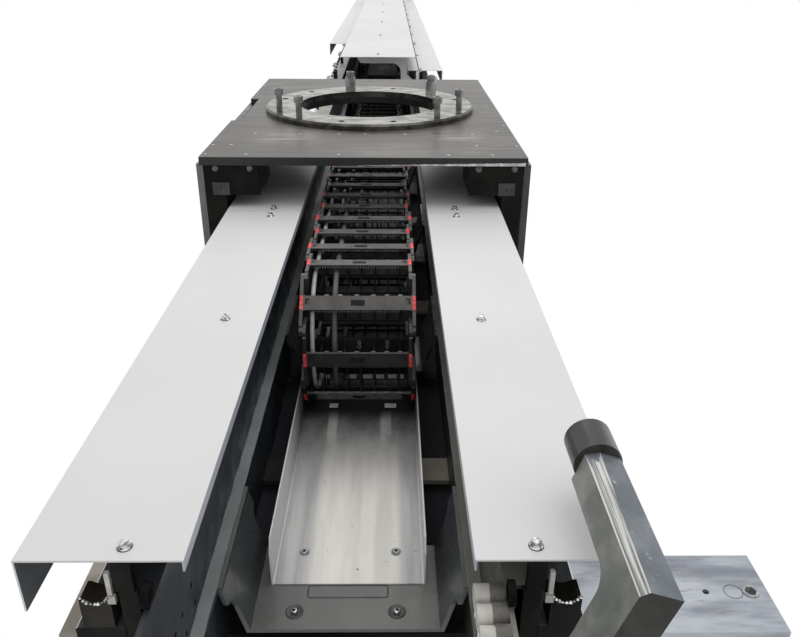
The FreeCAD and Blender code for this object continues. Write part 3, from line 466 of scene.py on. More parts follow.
# Near white: painted light on the bend's pale blocks.
chain_painted_light = finish("chain_painted_light", (0.80, 0.785, 0.75), (0.92, 0.90, 0.87), 60)
chain_red = finish("chain_red", (0.80, 0.055, 0.07), (0.92, 0.12, 0.12), 30, rough=(0.35, 0.45))
hose_grey = finish("hose_grey", (0.09, 0.09, 0.09), (0.14, 0.14, 0.14), 20, shine=0.3)
hose_smooth = finish("hose_smooth", (0.36, 0.385, 0.40), (0.46, 0.485, 0.50), 20, rough=(0.25, 0.4))
gland_grey = finish("gland_grey", (0.50, 0.485, 0.455), (0.62, 0.605, 0.57), 30, rough=(0.4, 0.5), shine=0.3)
gland_dark = finish("gland_dark", (0.13, 0.123, 0.11), (0.20, 0.19, 0.17), 30, rough=(0.4, 0.5), shine=0.3)
pad_grey = finish("pad_grey", (0.038, 0.038, 0.040), (0.058, 0.058, 0.06), 20, rough=(0.4, 0.55), shine=0.25)
cast_grey = finish("cast_grey", (0.36, 0.37, 0.38), (0.44, 0.45, 0.46), 25, metal=0.7)
# Near black: painted shade in holes, gaps and sockets and under washers, and also dark marks.
shade_and_dark_marks = finish("shade_and_dark_marks", (0.004, 0.004, 0.004), (0.009, 0.009, 0.009), 20, rough=(0.6, 0.8), shine=0.05)
screw_steel = finish("screw_steel", (0.15, 0.15, 0.15), (0.27, 0.27, 0.265), 40, rough=(0.3, 0.45), metal=0.7)
sleeve_steel = finish("sleeve_steel", (0.22, 0.22, 0.22), (0.36, 0.36, 0.36), 18, rough=(0.2, 0.35),
                      metal=0.9)
bolt_grey = finish("bolt_grey", (0.05, 0.05, 0.05), (0.13, 0.13, 0.13), 50, metal=0.4)
# Bright strips on the ledge edges: painted highlight, with wear.
edge_highlight_and_wear = finish("edge_highlight_and_wear", (0.16, 0.18, 0.18), (0.42, 0.45, 0.44), 40, (1, 0.4, 1), rough=(0.3, 0.5),
                   metal=0.3)


# Finishes whose tones depend on the place. A pair says where a tone starts to change and where it ends.

BROWN_END = (-0.36, -0.30)
LIT_PALE_START = (0.41, 0.47)
SCUFFS = ((-0.30, 1.53, 0.17), (0.34, 1.55, 0.14))
DUST_START = (2.4, 3.0)
LEFT_SHADE_END = (-0.14, -0.10)
SHEEN_BAND_START = (-0.090, -0.070)
SHEEN_BAND_END = (0.108, 0.122)
WALL_IN = 0.1525
WALL_OUT = 0.1545
FAR_SHADE_START = (0.22, 0.60)
LANES_START = (0.42, 0.56)
SHADE_START = (0.565, 0.645)
SKID_LANES = ((-0.081, -0.056), (0.064, 0.092))
LANE_EDGE = 0.006
WOBBLE = 0.012


def plate_steel():
    """The bare plate: brown on the left, painted shade under the beams, and pale with streaks on the right,
    where it is also painted lighter as painted light.
    """
    material, tree, shader = new_material("floor_plate_steel")
    coords = stretched(tree)
    axes = split(tree, coords)
    patch = noise(tree, stretched(tree, (0.35, 1.6, 1)), 7.0, 6.0)
    fine = noise(tree, stretched(tree, (0.5, 2.2, 1)), 24.0, 6.0, 0.65)
    pale = mixed(tree, span(tree, patch, 0.38, 0.60), (0.24, 0.26, 0.30), (0.50, 0.53, 0.58))
    pale = mixed(tree, span(tree, fine, 0.56, 0.72), pale, (0.27, 0.25, 0.235))
    brown = mixed(tree, span(tree, patch, 0.38, 0.62), (0.21, 0.19, 0.155), (0.36, 0.33, 0.28))
    # Near black between the beams: painted shade.
    shaded = mixed(tree, span(tree, patch, 0.38, 0.62), (0.02, 0.02, 0.019), (0.045, 0.043, 0.04))
    colour = mixed(tree, span(tree, axes["X"], *BROWN_END), brown, shaded)
    colour = mixed(tree, span(tree, axes["X"], *LIT_PALE_START), colour, pale)
    dress(tree, shader, colour, span(tree, patch, 0.3, 0.7, 0.25, 0.5), 0.3, 0.35)
    return material


def carriage_top_paint():
    """Dark paint, brushed along X on its upper face, with paler scuffs in front of the ring."""
    material, tree, shader = new_material("dark_plate")
    coords = stretched(tree)
    brushed = noise(tree, stretched(tree, (0.45, 4.5, 1)), 9.0, 6.0, 0.62)
    cloud = noise(tree, coords, 3.5)
    top = mixed(tree, span(tree, brushed, 0.36, 0.66), (0.056, 0.052, 0.046), (0.100, 0.093, 0.086))
    top = mixed(tree, span(tree, cloud, 0.46, 0.70), top, (0.112, 0.105, 0.097))
    for x, y, reach in SCUFFS:
        away = tree.nodes.new("ShaderNodeVectorMath")
        away.operation = "DISTANCE"
        away.inputs[1].default_value = (x, y, PLATE[1].z)
        tree.links.new(coords, away.inputs[0])
        near = span(tree, away.outputs["Value"], 0.02, reach, 0.7, 0.0)
        rubbed = sums(tree, "MULTIPLY", near, span(tree, brushed, 0.42, 0.60))
        top = mixed(tree, rubbed, top, (0.34, 0.325, 0.305))
    side = mixed(tree, span(tree, cloud, 0.4, 0.65), (0.010, 0.0095, 0.009), (0.018, 0.017, 0.016))
    colour = mixed(tree, facing(tree, "Z", 0.35, 0.8), side, top)
    dress(tree, shader, colour, span(tree, brushed, 0.3, 0.7, 0.3, 0.5), 0.35)
    tree.links.new(eased_edges(tree, 0.0015), shader.inputs["Normal"])
    return material


def beam_top_paint():
    """The beam's top flange: painted under the front covers, and dusty where the covers leave off."""
    material, tree, shader = new_material("beam_top")
    coords = stretched(tree)
    axes = split(tree, coords)
    patch = span(tree, noise(tree, coords, 6.0), 0.4, 0.65)
    dust = mixed(tree, patch, (0.25, 0.235, 0.215), (0.32, 0.30, 0.28))
    colour = mixed(tree, span(tree, axes["Y"], *DUST_START), (0.035, 0.038, 0.045), dust)
    dress(tree, shader, colour, 0.45, 0.3)
    return material


def tie_coat():
    """Floor ties: pale to the right of the tray, and painted near black to its left as painted shade."""
    material, tree, shader = new_material("tie_paint")
    coords = stretched(tree)
    axes = split(tree, coords)
    patch = span(tree, noise(tree, coords, 9.0), 0.4, 0.65)
    pale = mixed(tree, patch, (0.26, 0.235, 0.20), (0.35, 0.32, 0.28))
    # Near black left of the tray: painted shade.
    colour = mixed(tree, span(tree, axes["X"], *LEFT_SHADE_END), (0.030, 0.029, 0.028), pale)
    dress(tree, shader, colour, 0.5, 0.2)
    return material


def banded_sheet():
    """Zinc sheet with a bright band along its middle that is a painted highlight, darker sides, spots, a far
    part painted darker as painted shade, and painted shadow under the chain.
    """
    material, tree, shader = new_material("zinc_sheet")
    coords = stretched(tree)
    axes = split(tree, coords)
    wobble = noise(tree, stretched(tree, (2, 0.5, 1)), 4.0)
    across = sums(tree, "MULTIPLY_ADD", wobble, WOBBLE, axes["X"])
    # The bright band along the middle is a painted highlight.
    left = span(tree, across, *SHEEN_BAND_START)
    right = span(tree, across, *SHEEN_BAND_END, 1.0, 0.0)
    band = sums(tree, "MULTIPLY", left, right)
    lengthwise = noise(tree, stretched(tree, (3, 0.25, 1)), 10.0, 5.0)
    side = mixed(tree, span(tree, lengthwise, 0.35, 0.65), (0.43, 0.43, 0.435), (0.60, 0.59, 0.58))
    middle = mixed(tree, span(tree, lengthwise, 0.35, 0.7), (0.92, 0.90, 0.85), (0.76, 0.74, 0.69))
    colour = mixed(tree, band, side, middle)
    colour = mixed(tree, span(tree, axes["X"], -WALL_OUT, -WALL_IN, 1.0, 0.0), colour, (0.78, 0.77, 0.77))
    colour = mixed(tree, span(tree, axes["X"], WALL_IN, WALL_OUT), colour, (0.76, 0.75, 0.74))
    patch = noise(tree, stretched(tree, (2.5, 1.2, 1)), 7.0, 5.0)
    shade = mixed(tree, span(tree, patch, 0.38, 0.62), (0.22, 0.22, 0.225), (0.12, 0.12, 0.125))
    # Darker towards the chain: painted shade.
    colour = mixed(tree, span(tree, axes["Y"], *FAR_SHADE_START), colour, shade)
    streak = mixed(tree, span(tree, patch, 0.38, 0.62), (0.55, 0.54, 0.50), (0.34, 0.33, 0.31))
    far = span(tree, axes["Y"], *LANES_START)
    for low, high in SKID_LANES:
        rises = span(tree, across, low, low + LANE_EDGE)
        falls = span(tree, across, high, high + LANE_EDGE, 1.0, 0.0)
        lane = sums(tree, "MULTIPLY", sums(tree, "MULTIPLY", rises, falls), far)
        colour = mixed(tree, lane, colour, streak)
    # Near black under the chain: painted shadow.
    colour = mixed(tree, span(tree, axes["Y"], *SHADE_START), colour, (0.020, 0.020, 0.020))
    spots = noise(tree, coords, 95.0, 6.0, 0.65)
    colour = mixed(tree, span(tree, spots, 0.66, 0.72), colour, (0.13, 0.13, 0.125))
    dress(tree, shader, colour, span(tree, patch, 0.3, 0.7, 0.34, 0.52), 0.3, 0.15)
    return material


zinc_sheet = banded_sheet()
floor_plate_steel = plate_steel()
beam_top = beam_top_paint()
tie_paint = tie_coat()
dark_plate = carriage_top_paint()


# Main finishes of the CAD nodes, by the whole name or by a word in it

LOOKS = {
    "left_beam": beam_left_blue_sheen, "right_beam": beam_right, "channel_roof": cover_paint,
    "roof_brackets": cover_paint, "floor_ties": tie_paint, "saddles": saddle_paint,
    "chain_tray": zinc_sheet, "chain_anchor_fixed": zinc_sheet, "robot_ring": ring_steel,
    "carriage_plate": dark_plate, "cover_posts": black_paint, "drive_bracket": black_paint,
    "servo_motor": black_paint, "left_skirt": skirt_left_lit, "right_skirt": skirt_right_shaded,
    "chain_anchor_moving": skirt_right_shaded, "ring_sleeves": sleeve_steel, "ring_screws": screw_steel,
    "levelling_screws": level_steel, "cable_fittings": gland_grey, "strike_pads": pad_grey,
    "gearbox": cast_grey, "gear_rack": rack_steel,
}
WORDS = (("covers", cover_paint), ("floor_plate", floor_plate_steel), ("housing", black_paint),
         ("rail_blocks", black_paint), ("end_stop", stop_steel), ("buffer", rubber),
         ("chain", chain_black), ("hoses", hose_grey))


def choose(name):
    """A node's finish: its own, else the one for a word in its name."""
    if name in LOOKS:
        return LOOKS[name]
    for word, look in WORDS:
        if word in name:
            return look
    return ground_steel


for name, node in nodes.items():
    node.data.materials.clear()
    node.data.materials.append(choose(name))


# Screws and washers on the covers and the roof

def screw_on(x, y, z):
    """A washer and the hexagonal head on it."""
    washer = lathe([(WASHER_R, MARK_T), (WASHER_R, 0.002), (0.0098, WASHER_T)], (x, y, z), "z", 28)
    return [washer, hex_head((x, y, z + WASHER_T), HEAD_ACROSS, HEAD_H)]


def cover_screws():
    """Screws along the covers and the roof. The near ones are bright and sit on a near-black ring that is a
    painted shadow under the washer.
    """
    places = []
    for side, open_segments in ((1, RIGHT_OPEN), (-1, LEFT_OPEN)):
        for k in range(COVER_COUNT):
            if k in open_segments:
                continue
            for i in range(SCREWS_EACH):
                y = COVER_FRONT + k * COVER_LENGTH + COVER_BOLT_FIRST + i * COVER_BOLT_PITCH
                places.append((side * COVER_BOLT_X, y, COVER_TOP))
    for k in range(ROOF_SCREWS):
        places.append((0, ROOF[0].y + ROOF_BOLT_FIRST + k * ROOF_BOLT_PITCH, ROOF[1].z))
    near, far, washer_shadows = [], [], []
    for x, y, z in places:
        if y < NEAR_END:
            near += screw_on(x, y, z)
            # A near-black disc under each near washer: painted shadow.
            washer_shadows.append(rod(WASHER_SHADOW_R, MARK_T, (x, y, z), "z", 28))
        else:
            far += screw_on(x, y, z)
    build("cover_screws", near, zinc_bolt, "track", more=[(washer_shadows, shade_and_dark_marks), (far, far_zinc)])


cover_screws()


# Energy chain: links with side plates in two lanes, cross bars, dividers, clips, tabs and two hoses

CHAIN_HALF = UPPER[1].x
LINK_HALF = (UPPER[1].z - UPPER[0].z) / 2
LOW_MID = LOWER[0].z + LINK_HALF
UPPER_MID = UPPER[0].z + LINK_HALF
BEND_Z = (LOW_MID + UPPER_MID) / 2
BEND_INNER = (UPPER_MID - LOW_MID) / 2
RUN_MARGIN = 0.025
LOOP_Y = LOWER[0].y + RUN_MARGIN
BEND_Y = LOOP_Y + LINK_PITCH / 2
HALF_TURN = math.radians(22.5)
BEND_PIN = BEND_INNER / math.cos(HALF_TURN)
LOW_END = LOWER[1].y - RUN_MARGIN
UP_END = UPPER[1].y - RUN_MARGIN
DIVIDERS = (-0.098, -0.035, 0.004, 0.043, 0.078, 0.112)
TABS = (-0.117, -0.082, -0.047, -0.003, 0.041, 0.077, 0.112)
THIN_HOSE = (-0.121, 0.0062, 0.0)
RIBBED_HOSE = (-0.062, 0.0078, 0.12)
HOSE_OUT = 0.018
FINE_RINGS = 32
RIBBED_LINKS = 3
NOSE = 0.0245
NOSE_R = 0.014
SHOULDER = 0.004
BAR_HALF = 0.020
BAR_T = 0.008
SUNK = 0.0006
MARK_SUNK = 0.0003
COMB_TEETH = 30
COMB_FIRST = -0.108
COMB_PITCH = 0.0074
TAB_OUT = 0.0045
CLIP_STEPS = (-0.0135, 0.0, 0.0135)
BEND_LINKS = 3
HANG = math.radians(126)
ARC_STEPS = 120
GLINT_SKIDS = ((-0.086, -0.062), (0.070, 0.103))
LIT_WINDOWS = ((-0.113, -0.092), (-0.044, -0.013), (0.001, 0.034), (0.042, 0.068), (0.079, 0.105),
           (0.113, 0.126))
EYES = ((0.004, 0.3005), (0.004, 0.3125), (0.078, 0.3005), (0.078, 0.3125))


def link_plate(outer, full):
    """A side plate with rounded ends and shoulders. One that isn't full ends at its pin."""
    h, r, step = LINK_HALF, NOSE_R, SHOULDER
    a, b = (-NOSE if full else -SHOULDER), LINK_PITCH + NOSE
    points = [(a, -h + r), (a + r * 0.3, -h + r * 0.3), (a + r, -h), (b - r, -h),
              (b - r * 0.3, -h + r * 0.3), (b, -h + r), (b, h - 0.012), (b - 0.010, h - step),
              (b - 0.022, h - step), (b - 0.024, h), (a + 0.024, h), (a + 0.022, h - step),
              (a + 0.010, h - step), (a, h - 0.012)]
    return prism(points, outer - PLATE_T, outer)


def both_sides(x0, x1, y0, y1, z0, z1):
    """A box and its mirror image across the middle plane."""
    piece = block(x0, x1, y0, y1, z0, z1)
    return [piece, mirrored(piece)]


def link_groups(lane, side, full):
    """One link's pieces by material. Side is 1 where the chain's outside is up, else -1."""
    outer = CHAIN_HALF - (PLATE_T if lane == 0 else 0)
    inner = outer - PLATE_T
    mid, half, top = LINK_PITCH / 2, BAR_HALF, LINK_HALF
    face, mark = top - SUNK, top - MARK_SUNK
    plate = link_plate(outer, full)
    shell = [plate, mirrored(plate), block(-inner, inner, mid - half, mid + half, top - BAR_T, face)]
    shell += both_sides(inner - 0.0045, inner, mid - half - 0.0015, mid + half + 0.0015, top - 0.009, top)
    shell += both_sides(inner - 0.0150, inner - 0.0105, mid - 0.004, mid + 0.008, face, top - 0.0001)
    # The dark group is painted darker than the shell as painted shade: the lower bar and dividers inside the
    # link, and small sunk marks and pin ends.
    dark = [block(-inner, inner, mid - half, mid + half, -top, -top + BAR_T)]
    for x in DIVIDERS:
        dark.append(block(x - 0.0016, x + 0.0016, mid - 0.017, mid + 0.017, -top + BAR_T, top - BAR_T))
    dark.append(block(-0.0185, 0.0185, mid - 0.0078, mid + 0.0078, face, mark))
    dark += both_sides(inner - 0.0165, inner - 0.0055, mid - 0.004, mid + 0.0125, face, mark)
    dark += both_sides(inner - 0.0005, outer, -0.002, 0.006, top - 0.018, top - 0.0035)
    tabs = []
    for x in TABS:
        y = mid + half
        tabs.append(block(x - 0.0055, x + 0.0055, y, y + TAB_OUT, top - 0.006, top - 0.002))
    for i in range(COMB_TEETH):
        x = COMB_FIRST + i * COMB_PITCH
        y = mid - half
        tabs.append(block(x, x + 0.0018, y - TAB_OUT, y, top - 0.0085, top - 0.005))
    red = []
    for shift in CLIP_STEPS:
        y = mid + shift
        red += both_sides(outer - 0.0088, outer - 0.0002, y - 0.0058, y + 0.0058, top - 0.002, top + 0.0016)
    groups = {"shell": shell, "dark": dark, "tabs": tabs, "red": red}
    if side < 0:
        groups = {key: [flipped(piece) for piece in found] for key, found in groups.items()}
    return groups


def hose(path, x, radius, ribs=0.0, sides=12):
    """A hose along (y, z) points. With ribs every second ring is narrower."""
    corners, faces = [], []
    for i, (y, z) in enumerate(path):
        y0, z0 = path[max(i - 1, 0)]
        y1, z1 = path[min(i + 1, len(path) - 1)]
        length = math.hypot(y1 - y0, z1 - z0)
        r = radius * (1 - ribs * (i % 2))
        for k in range(sides):
            a = 2 * math.pi * k / sides
            lift = r * math.sin(a) / length
            corners.append((x + r * math.cos(a), y - (z1 - z0) * lift, z + (y1 - y0) * lift))
    for i in range(len(path) - 1):
        for k in range(sides):
            m = (k + 1) % sides
            faces.append((i * sides + k, (i + 1) * sides + k, (i + 1) * sides + m, i * sides + m))
    return corners, faces


def straight_hoses(y0, y1, z, fine):
    """The two hoses over one link: (smooth pieces, ribbed pieces)."""
    count = FINE_RINGS if fine else 2
    path = [(y0 + (y1 - y0) * i / count, z) for i in range(count + 1)]
    x, radius, ribs = RIBBED_HOSE
    return [hose([(y0, z), (y1, z)], *THIN_HOSE)], [hose(path, x, radius, ribs if fine else 0.0)]


def link_object(name, places, smooth_hoses, ribbed_hoses, stand_in, plain=False):
    """Links as one object, in place of CAD nodes. A place is (y, z, turn, lane, side)."""
    gathered = {"shell": [], "dark": [], "tabs": [], "red": []}
    for y, z, turn, lane, side in places:
        for kind, found in link_groups(lane, side, z > LOW_MID - 0.001).items():
            gathered[kind] += [moved(piece, turn, (0, y, z)) for piece in found]
    more = [(gathered["dark"], chain_shade), (smooth_hoses, hose_smooth), (ribbed_hoses, hose_grey)]
    if not plain:
        more += [(gathered["tabs"], chain_tab), (gathered["red"], chain_red)]
    obj = build(name, gathered["shell"], chain_black, more=more)
    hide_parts(*stand_in)
    return obj


def follow(obj, other, y0, y1, share0, share1):
    """Bakes the link's place into its mesh. The other body, y0, y1 and both shares are not used."""
    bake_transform(obj)


def round_bend(reach, turn):
    """The (y, z) at a reach from the bend's middle, with the turn counted from straight down."""
    return BEND_Y - reach * math.sin(turn), BEND_Z - reach * math.cos(turn)


def lower_run():
    """The run in the tray: its first link rides on the bend, its last stays, and the others are baked in
    place.
    """
    count = round((LOW_END - LOOP_Y) / LINK_PITCH)
    for k in range(count):
        y0, y1 = LOOP_Y + k * LINK_PITCH, LOOP_Y + (k + 1) * LINK_PITCH
        hoses = straight_hoses(max(y0, BEND_Y), y1, LOW_MID - HOSE_OUT, k < RIBBED_LINKS)
        link = link_object("chain_lower_link_%02d" % (k + 1), [(y0, LOW_MID, 0, k % 2, -1)], *hoses,
                           ("chain_lower_run", "hoses_lower_run"), plain=True)
        if k == 0:
            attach(link, "chain_loop")
        elif k == count - 1:
            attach(link, "track")
        else:
            shares = [(LOW_END - y) / (LOW_END - LOOP_Y) for y in (y0, y1)]
            follow(link, "chain_loop", y0, y1, *shares)


def upper_run():
    """The run to the carriage: its last link rides on the carriage, and the others are baked in place."""
    count = round((UP_END - LOOP_Y) / LINK_PITCH)
    for k in range(count):
        y0, y1 = LOOP_Y + k * LINK_PITCH, LOOP_Y + (k + 1) * LINK_PITCH
        hoses = straight_hoses(max(y0, BEND_Y), y1, UPPER_MID + HOSE_OUT, True)
        link = link_object("chain_upper_link_%02d" % (k + 1), [(y0, UPPER_MID, 0, k % 2, 1)], *hoses,
                           ("chain_upper_run", "hoses_upper_run"))
        if k == count - 1:
            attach(link, "carriage")
        else:
            shares = [0.5 + 0.5 * (y - LOOP_Y) / (UP_END - LOOP_Y) for y in (y0, y1)]
            follow(link, "carriage", y0, y1, *shares)


def chain_bend():
    """The bend: two links round it and one that hangs, with its eyes; pale blocks under the bend that are a
    painted reflection on the tray, pale window blocks that are painted light where the lit tray shows between
    the dividers, and a face of the hung link painted lighter as painted light.
    """
    pins = [round_bend(BEND_PIN, (2 * k + 1) * HALF_TURN) for k in range(BEND_LINKS)]
    knee_y, knee_z = pins[1]
    hung = (knee_y - LINK_PITCH * math.cos(HANG), knee_z - LINK_PITCH * math.sin(HANG))
    places = [(*hung, HANG, 1, 1)]
    for k in range(1, BEND_LINKS):
        places.append((*pins[k], math.pi - (k + 1) * 2 * HALF_TURN, (k + 1) % 2, 1))
    turns = [math.radians(180 * i / ARC_STEPS) for i in range(ARC_STEPS + 1)]
    arc = [round_bend(BEND_INNER + HOSE_OUT, turn) for turn in turns]
    hoses = [hose(arc[::4], *THIN_HOSE)], [hose(arc, *RIBBED_HOSE)]
    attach(link_object("chain_loop_links", places, *hoses, ("chain_bend", "hoses_bend")), "chain_loop")
    # Pale blocks of painted light: a painted reflection on the tray under the bend, and the lit tray seen
    # between the dividers.
    lit_patches = []
    low = TRAY[0].z
    for x0, x1 in GLINT_SKIDS:
        lit_patches.append(block(x0, x1, LOOP_Y - 0.062, LOOP_Y - 0.048, low + 0.0078, low + 0.0135))
    for x0, x1 in LIT_WINDOWS:
        lit_patches.append(block(x0, x1, LOOP_Y + 0.0475, LOOP_Y + 0.0485, LOW_MID - 0.008, LOW_MID + 0.005))
    build("loop_lit_patches", lit_patches, chain_painted_light, "chain_loop")
    eye_y = BEND_Y - BEND_INNER - LINK_HALF + 0.014
    rings = [ring_band(0.0034, 0.0050, 0.002, (x, eye_y, z), "y", 16) for x, z in EYES]
    build("loop_rings", rings, hose_grey, "chain_loop")
    # A face of the hung link painted lighter as painted light, where little light reaches it from below.
    lit_face = block(-0.118, 0.118, 0.0455, 0.0825, LINK_HALF - 0.0007, LINK_HALF - 0.0005)
    build("loop_lit_face", [moved(lit_face, HANG, (0, *hung))], chain_tab, "chain_loop")


lower_run()
upper_run()
chain_bend()


# Beams and floor plate

def ledge_edges():
    """The edges of the beams' ledges, painted bright: a painted highlight along each edge, with wear."""
    strips = []
    y0, y1 = BEAM[0].y, BEAM[1].y
    for x in (-LEDGE_LIP_X, LEDGE_LIP_X):
        strips.append(block(x - 0.0006, x + 0.0006, y0, y1, LEDGE_Z - 0.0012, LEDGE_Z + MARK_T))
    for x in (-LEDGE_FOOT_X, LEDGE_FOOT_X):
        strips.append(block(x - 0.0007, x + 0.0007, y0, y1, LEDGE_Z, LEDGE_Z + 0.0009))
    build("ledge_edges", strips, edge_highlight_and_wear, "track")


def small_holes():
    """Holes in the webs near the front, the plug's edge, and the floor of the pilot hole, all near black; the
    holes and the pilot hole's floor are painted shade.
    """
    holes = []
    for y, z in WEB_HOLES:
        disc = rod(WEB_HOLE_R, MARK_T, (-WEB_X, y, z), "x", 14)
        holes += [disc, mirrored(disc)]
    build("web_holes", holes, shade_and_dark_marks, "track")
    plug = ring_band(PLUG_R - 0.001, PLUG_R, MARK_T, (PLUG_X, 0.0, FLOOR_PLATE_TOP))
    build("plug_edge", [plug], shade_and_dark_marks, "track")
    build("pilot_hole_floor", [rod(PILOT_R, 0.010, (PILOT_X, 0.0, 0.001), "z", 20)], shade_and_dark_marks, "track")


ledge_edges()
small_holes()


# Front saddle and tray

def saddle_fittings():
    """Tray screws on flat washers, and studs on dished ones."""
    heads, sockets, dishes, studs = [], [], [], []
    for x, y in TRAY_SCREWS:
        base = (x, y, SADDLE_FLOOR + TRAY_T)
        heads.append(lathe(TRAY_HEAD, base, "z", 24))
        heads.append(ring_band(0.0094, 0.0122, 0.0006, base))
        # The dark ring round each head and the dark disc in each socket are painted shade.
        sockets.append(ring_band(0.0088, 0.0094, MARK_T, base))
        sockets.append(rod(0.0036, SOCKET_T, (x, y, base[2] + TRAY_HEAD[-1][1]), "z", 6))
    for x, y in SADDLE_STUDS:
        base = (x, y, SADDLE_FLOOR)
        dishes.append(lathe(DISH, base, "z", 32))
        studs.append(lathe(STUD, base, "z", 20))
        sockets.append(rod(0.0034, SOCKET_T, (x, y - 0.001, SADDLE_FLOOR + STUD[-1][1]), "z", 8))
    build("tray_screws", heads, level_steel, "track", more=[(sockets, shade_and_dark_marks)])
    build("saddle_studs", studs, zinc_bolt, "track", more=[(dishes, saddle_line)])


QUARTER_STEPS = 6


def rounded_frame(x0, x1, y0, y1, z, corner, width, height):
    """A low raised line round a rectangle with rounded corners."""
    outline = []
    quarters = ((x1 - corner, y1 - corner, 0), (x0 + corner, y1 - corner, 90),
                (x0 + corner, y0 + corner, 180), (x1 - corner, y0 + corner, 270))
    for cx, cy, start in quarters:
        for step in range(QUARTER_STEPS + 1):
            a = math.radians(start + step * 90 / QUARTER_STEPS)
            outline.append((cx, cy, math.cos(a), math.sin(a)))
    corners, faces = [], []
    n = len(outline)
    section = ((0, 0), (width * 0.3, height), (width * 0.7, height), (width, 0))
    for inset, up in section:
        r = corner - inset
        corners += [(cx + r * c, cy + r * s, z + up) for cx, cy, c, s in outline]
    for ring in range(len(section) - 1):
        for i in range(n):
            k = (i + 1) % n
            faces.append((ring * n + i, ring * n + k, (ring + 1) * n + k, (ring + 1) * n + i))
    return corners, faces


saddle_fittings()
frame_line = rounded_frame(*FRAME_X, *FRAME_Y, SADDLE_FLOOR, 0.008, 0.0032, 0.0014)
build("saddle_frame", [frame_line], saddle_line, "track")


# Carriage

def corner_bolts():
    """Bolt heads on the housings' front and rear faces. One of the four is flush."""
    bolts = []
    for x in (-0.482, -0.371, 0.490):
        bolts.append(rod(BOLT_R, BOLT_H, (x, HOUSING_FRONT - BOLT_H, BOLT_Z), "y", 24, 0.002))
    bolts.append(rod(BOLT_R, FLUSH_H, (0.374, HOUSING_FRONT - FLUSH_H, BOLT_Z), "y", 24))
    bolts += [far_end(bolt, CARRIAGE_MIDDLE) for bolt in bolts]
    build("corner_bolts", bolts, bolt_grey, "carriage")


def plate_screws():
    """Small screws that show on the plate's upper face."""
    spots = [(x, y) for y, row in SCREW_ROWS for x in row] + list(LONE_SCREWS)
    heads = [rod(0.0055, 0.0006, (x, y, PLATE[1].z), "z", 10) for x, y in spots]
    build("plate_screws", heads, far_zinc, "carriage")


def bare_strip():
    """A bare strip with a ragged edge along the plate's lower front edge."""
    edge = [(-0.020, 0.0010)]
    for i in range(EDGE_STEPS):
        height = 0.0030 + 0.0075 * i / (EDGE_STEPS - 1) + random.uniform(-RAGGED, RAGGED)
        edge.append((0.060 + i * EDGE_STEP, height))
    y, z = PLATE[0].y - 0.0003, PLATE[0].z + 0.0008
    strip = []
    for (xa, ha), (xb, hb) in zip(edge, edge[1:]):
        strip.append(([(xa, y, z), (xb, y, z), (xb, y, z + hb), (xa, y, z + ha)], [(0, 1, 2, 3)]))
    build("bare_strip", strip, bare_edge, "carriage")


def pad_marks():
    """Centre marks on the strike pads."""
    marks = []
    for x in (-PAD_MARK_X, PAD_MARK_X):
        for y in (PADS[0].y - MARK_T, PADS[1].y):
            marks.append(rod(0.0028, MARK_T, (x, y, PAD_MARK_Z), "y", 10))
    build("pad_marks", marks, shade_and_dark_marks, "carriage")


corner_bolts()
plate_screws()
bare_strip()
pad_marks()


# Front fittings: nubs by the glands, beads and strips on the rail blocks

def web_nubs():
    """Two small nubs by the outer ends of the glands."""
    nubs = [block(0.2075, 0.2115, y, y + 0.012, 0.377, 0.392) for y in (-0.400, -0.440)]
    build("web_nubs", nubs, zinc_bolt, "track", bevel=0.001)


def rail_beads():
    """An arc of beads on each rail block's wiper, and pale strips beside the posts."""
    beads, strips = [], []
    for side in (-1, 1):
        for i in range(BEADS_EACH):
            a = math.radians(BEAD_FIRST + i * BEAD_STEP)
            size = 0.0021 + 0.0009 * ((i * 7) % 3)
            x = side * BEAD_X + BEAD_ARC[0] * math.cos(a)
            z = BLOCKS[1].z + BEAD_RISE + BEAD_ARC[1] * math.sin(a)
            bead = [(MARK_T, -size), (size, 0), (MARK_T, size)]
            beads.append(lathe(bead, (x, BLOCKS[0].y - MARK_T, z), "z", 8))
        for low, high, z0, z1 in ((0.3165, 0.3235, 0.405, 0.447), (0.3135, 0.3255, 0.388, 0.402)):
            x0, x1 = sorted((side * low, side * high))
            strips.append(block(x0, x1, COVER_FRONT - 0.0012, COVER_FRONT + 0.006, z0, z1))
    build("rail_beads", beads, zinc_bolt, "track", more=[(strips, gland_grey)])


web_nubs()
rail_beads()


# Far part: bolts on the rack's upper face, a clip by the rear cover, and painted shade in the gap beside the
# roof

def rack_bolts():
    """Bolts along the rack's upper face, evenly spaced."""
    length = RACK[1].y - RACK[0].y
    bolts = []
    for i in range(int((length - 0.1) / RACK_BOLT_PITCH)):
        y = RACK[0].y + RACK_BOLT_FIRST + i * RACK_BOLT_PITCH
        bolts.append(rod(RACK_BOLT_R, RACK_BOLT_H, (RACK_BOLT_X, y, RACK[1].z), "z", 10))
    build("rack_bolts", bolts, shade_and_dark_marks, "track")


rack_bolts()
clip = block(*CLIP_X, *CLIP_Y, BEAM[1].z, CLIP_TOP)
build("cover_clip", [clip], cover_paint, "track", bevel=0.002)
# A near-black strip on the cover beside the roof: painted shade in the gap there.
gap = block(*ROOF_GAP_X, ROOF[0].y + 0.095, ROOF[1].y, COVER_TOP, COVER_TOP + 0.0006)
build("roof_gap_shade", [gap], shade_and_dark_marks, "track")


# Faces of the CAD nodes that are finished differently from the rest: c is the centre, n the normal

def face_materials(node, *rules):
    """Gives faces of a CAD node other materials. A rule is (material, test of centre and normal)."""
    mesh = nodes[node].data
    for material, test in rules:
        mesh.materials.append(material)
        slot = len(mesh.materials) - 1
        for polygon in mesh.polygons:
            if test(polygon.center, polygon.normal):
                polygon.material_index = slot


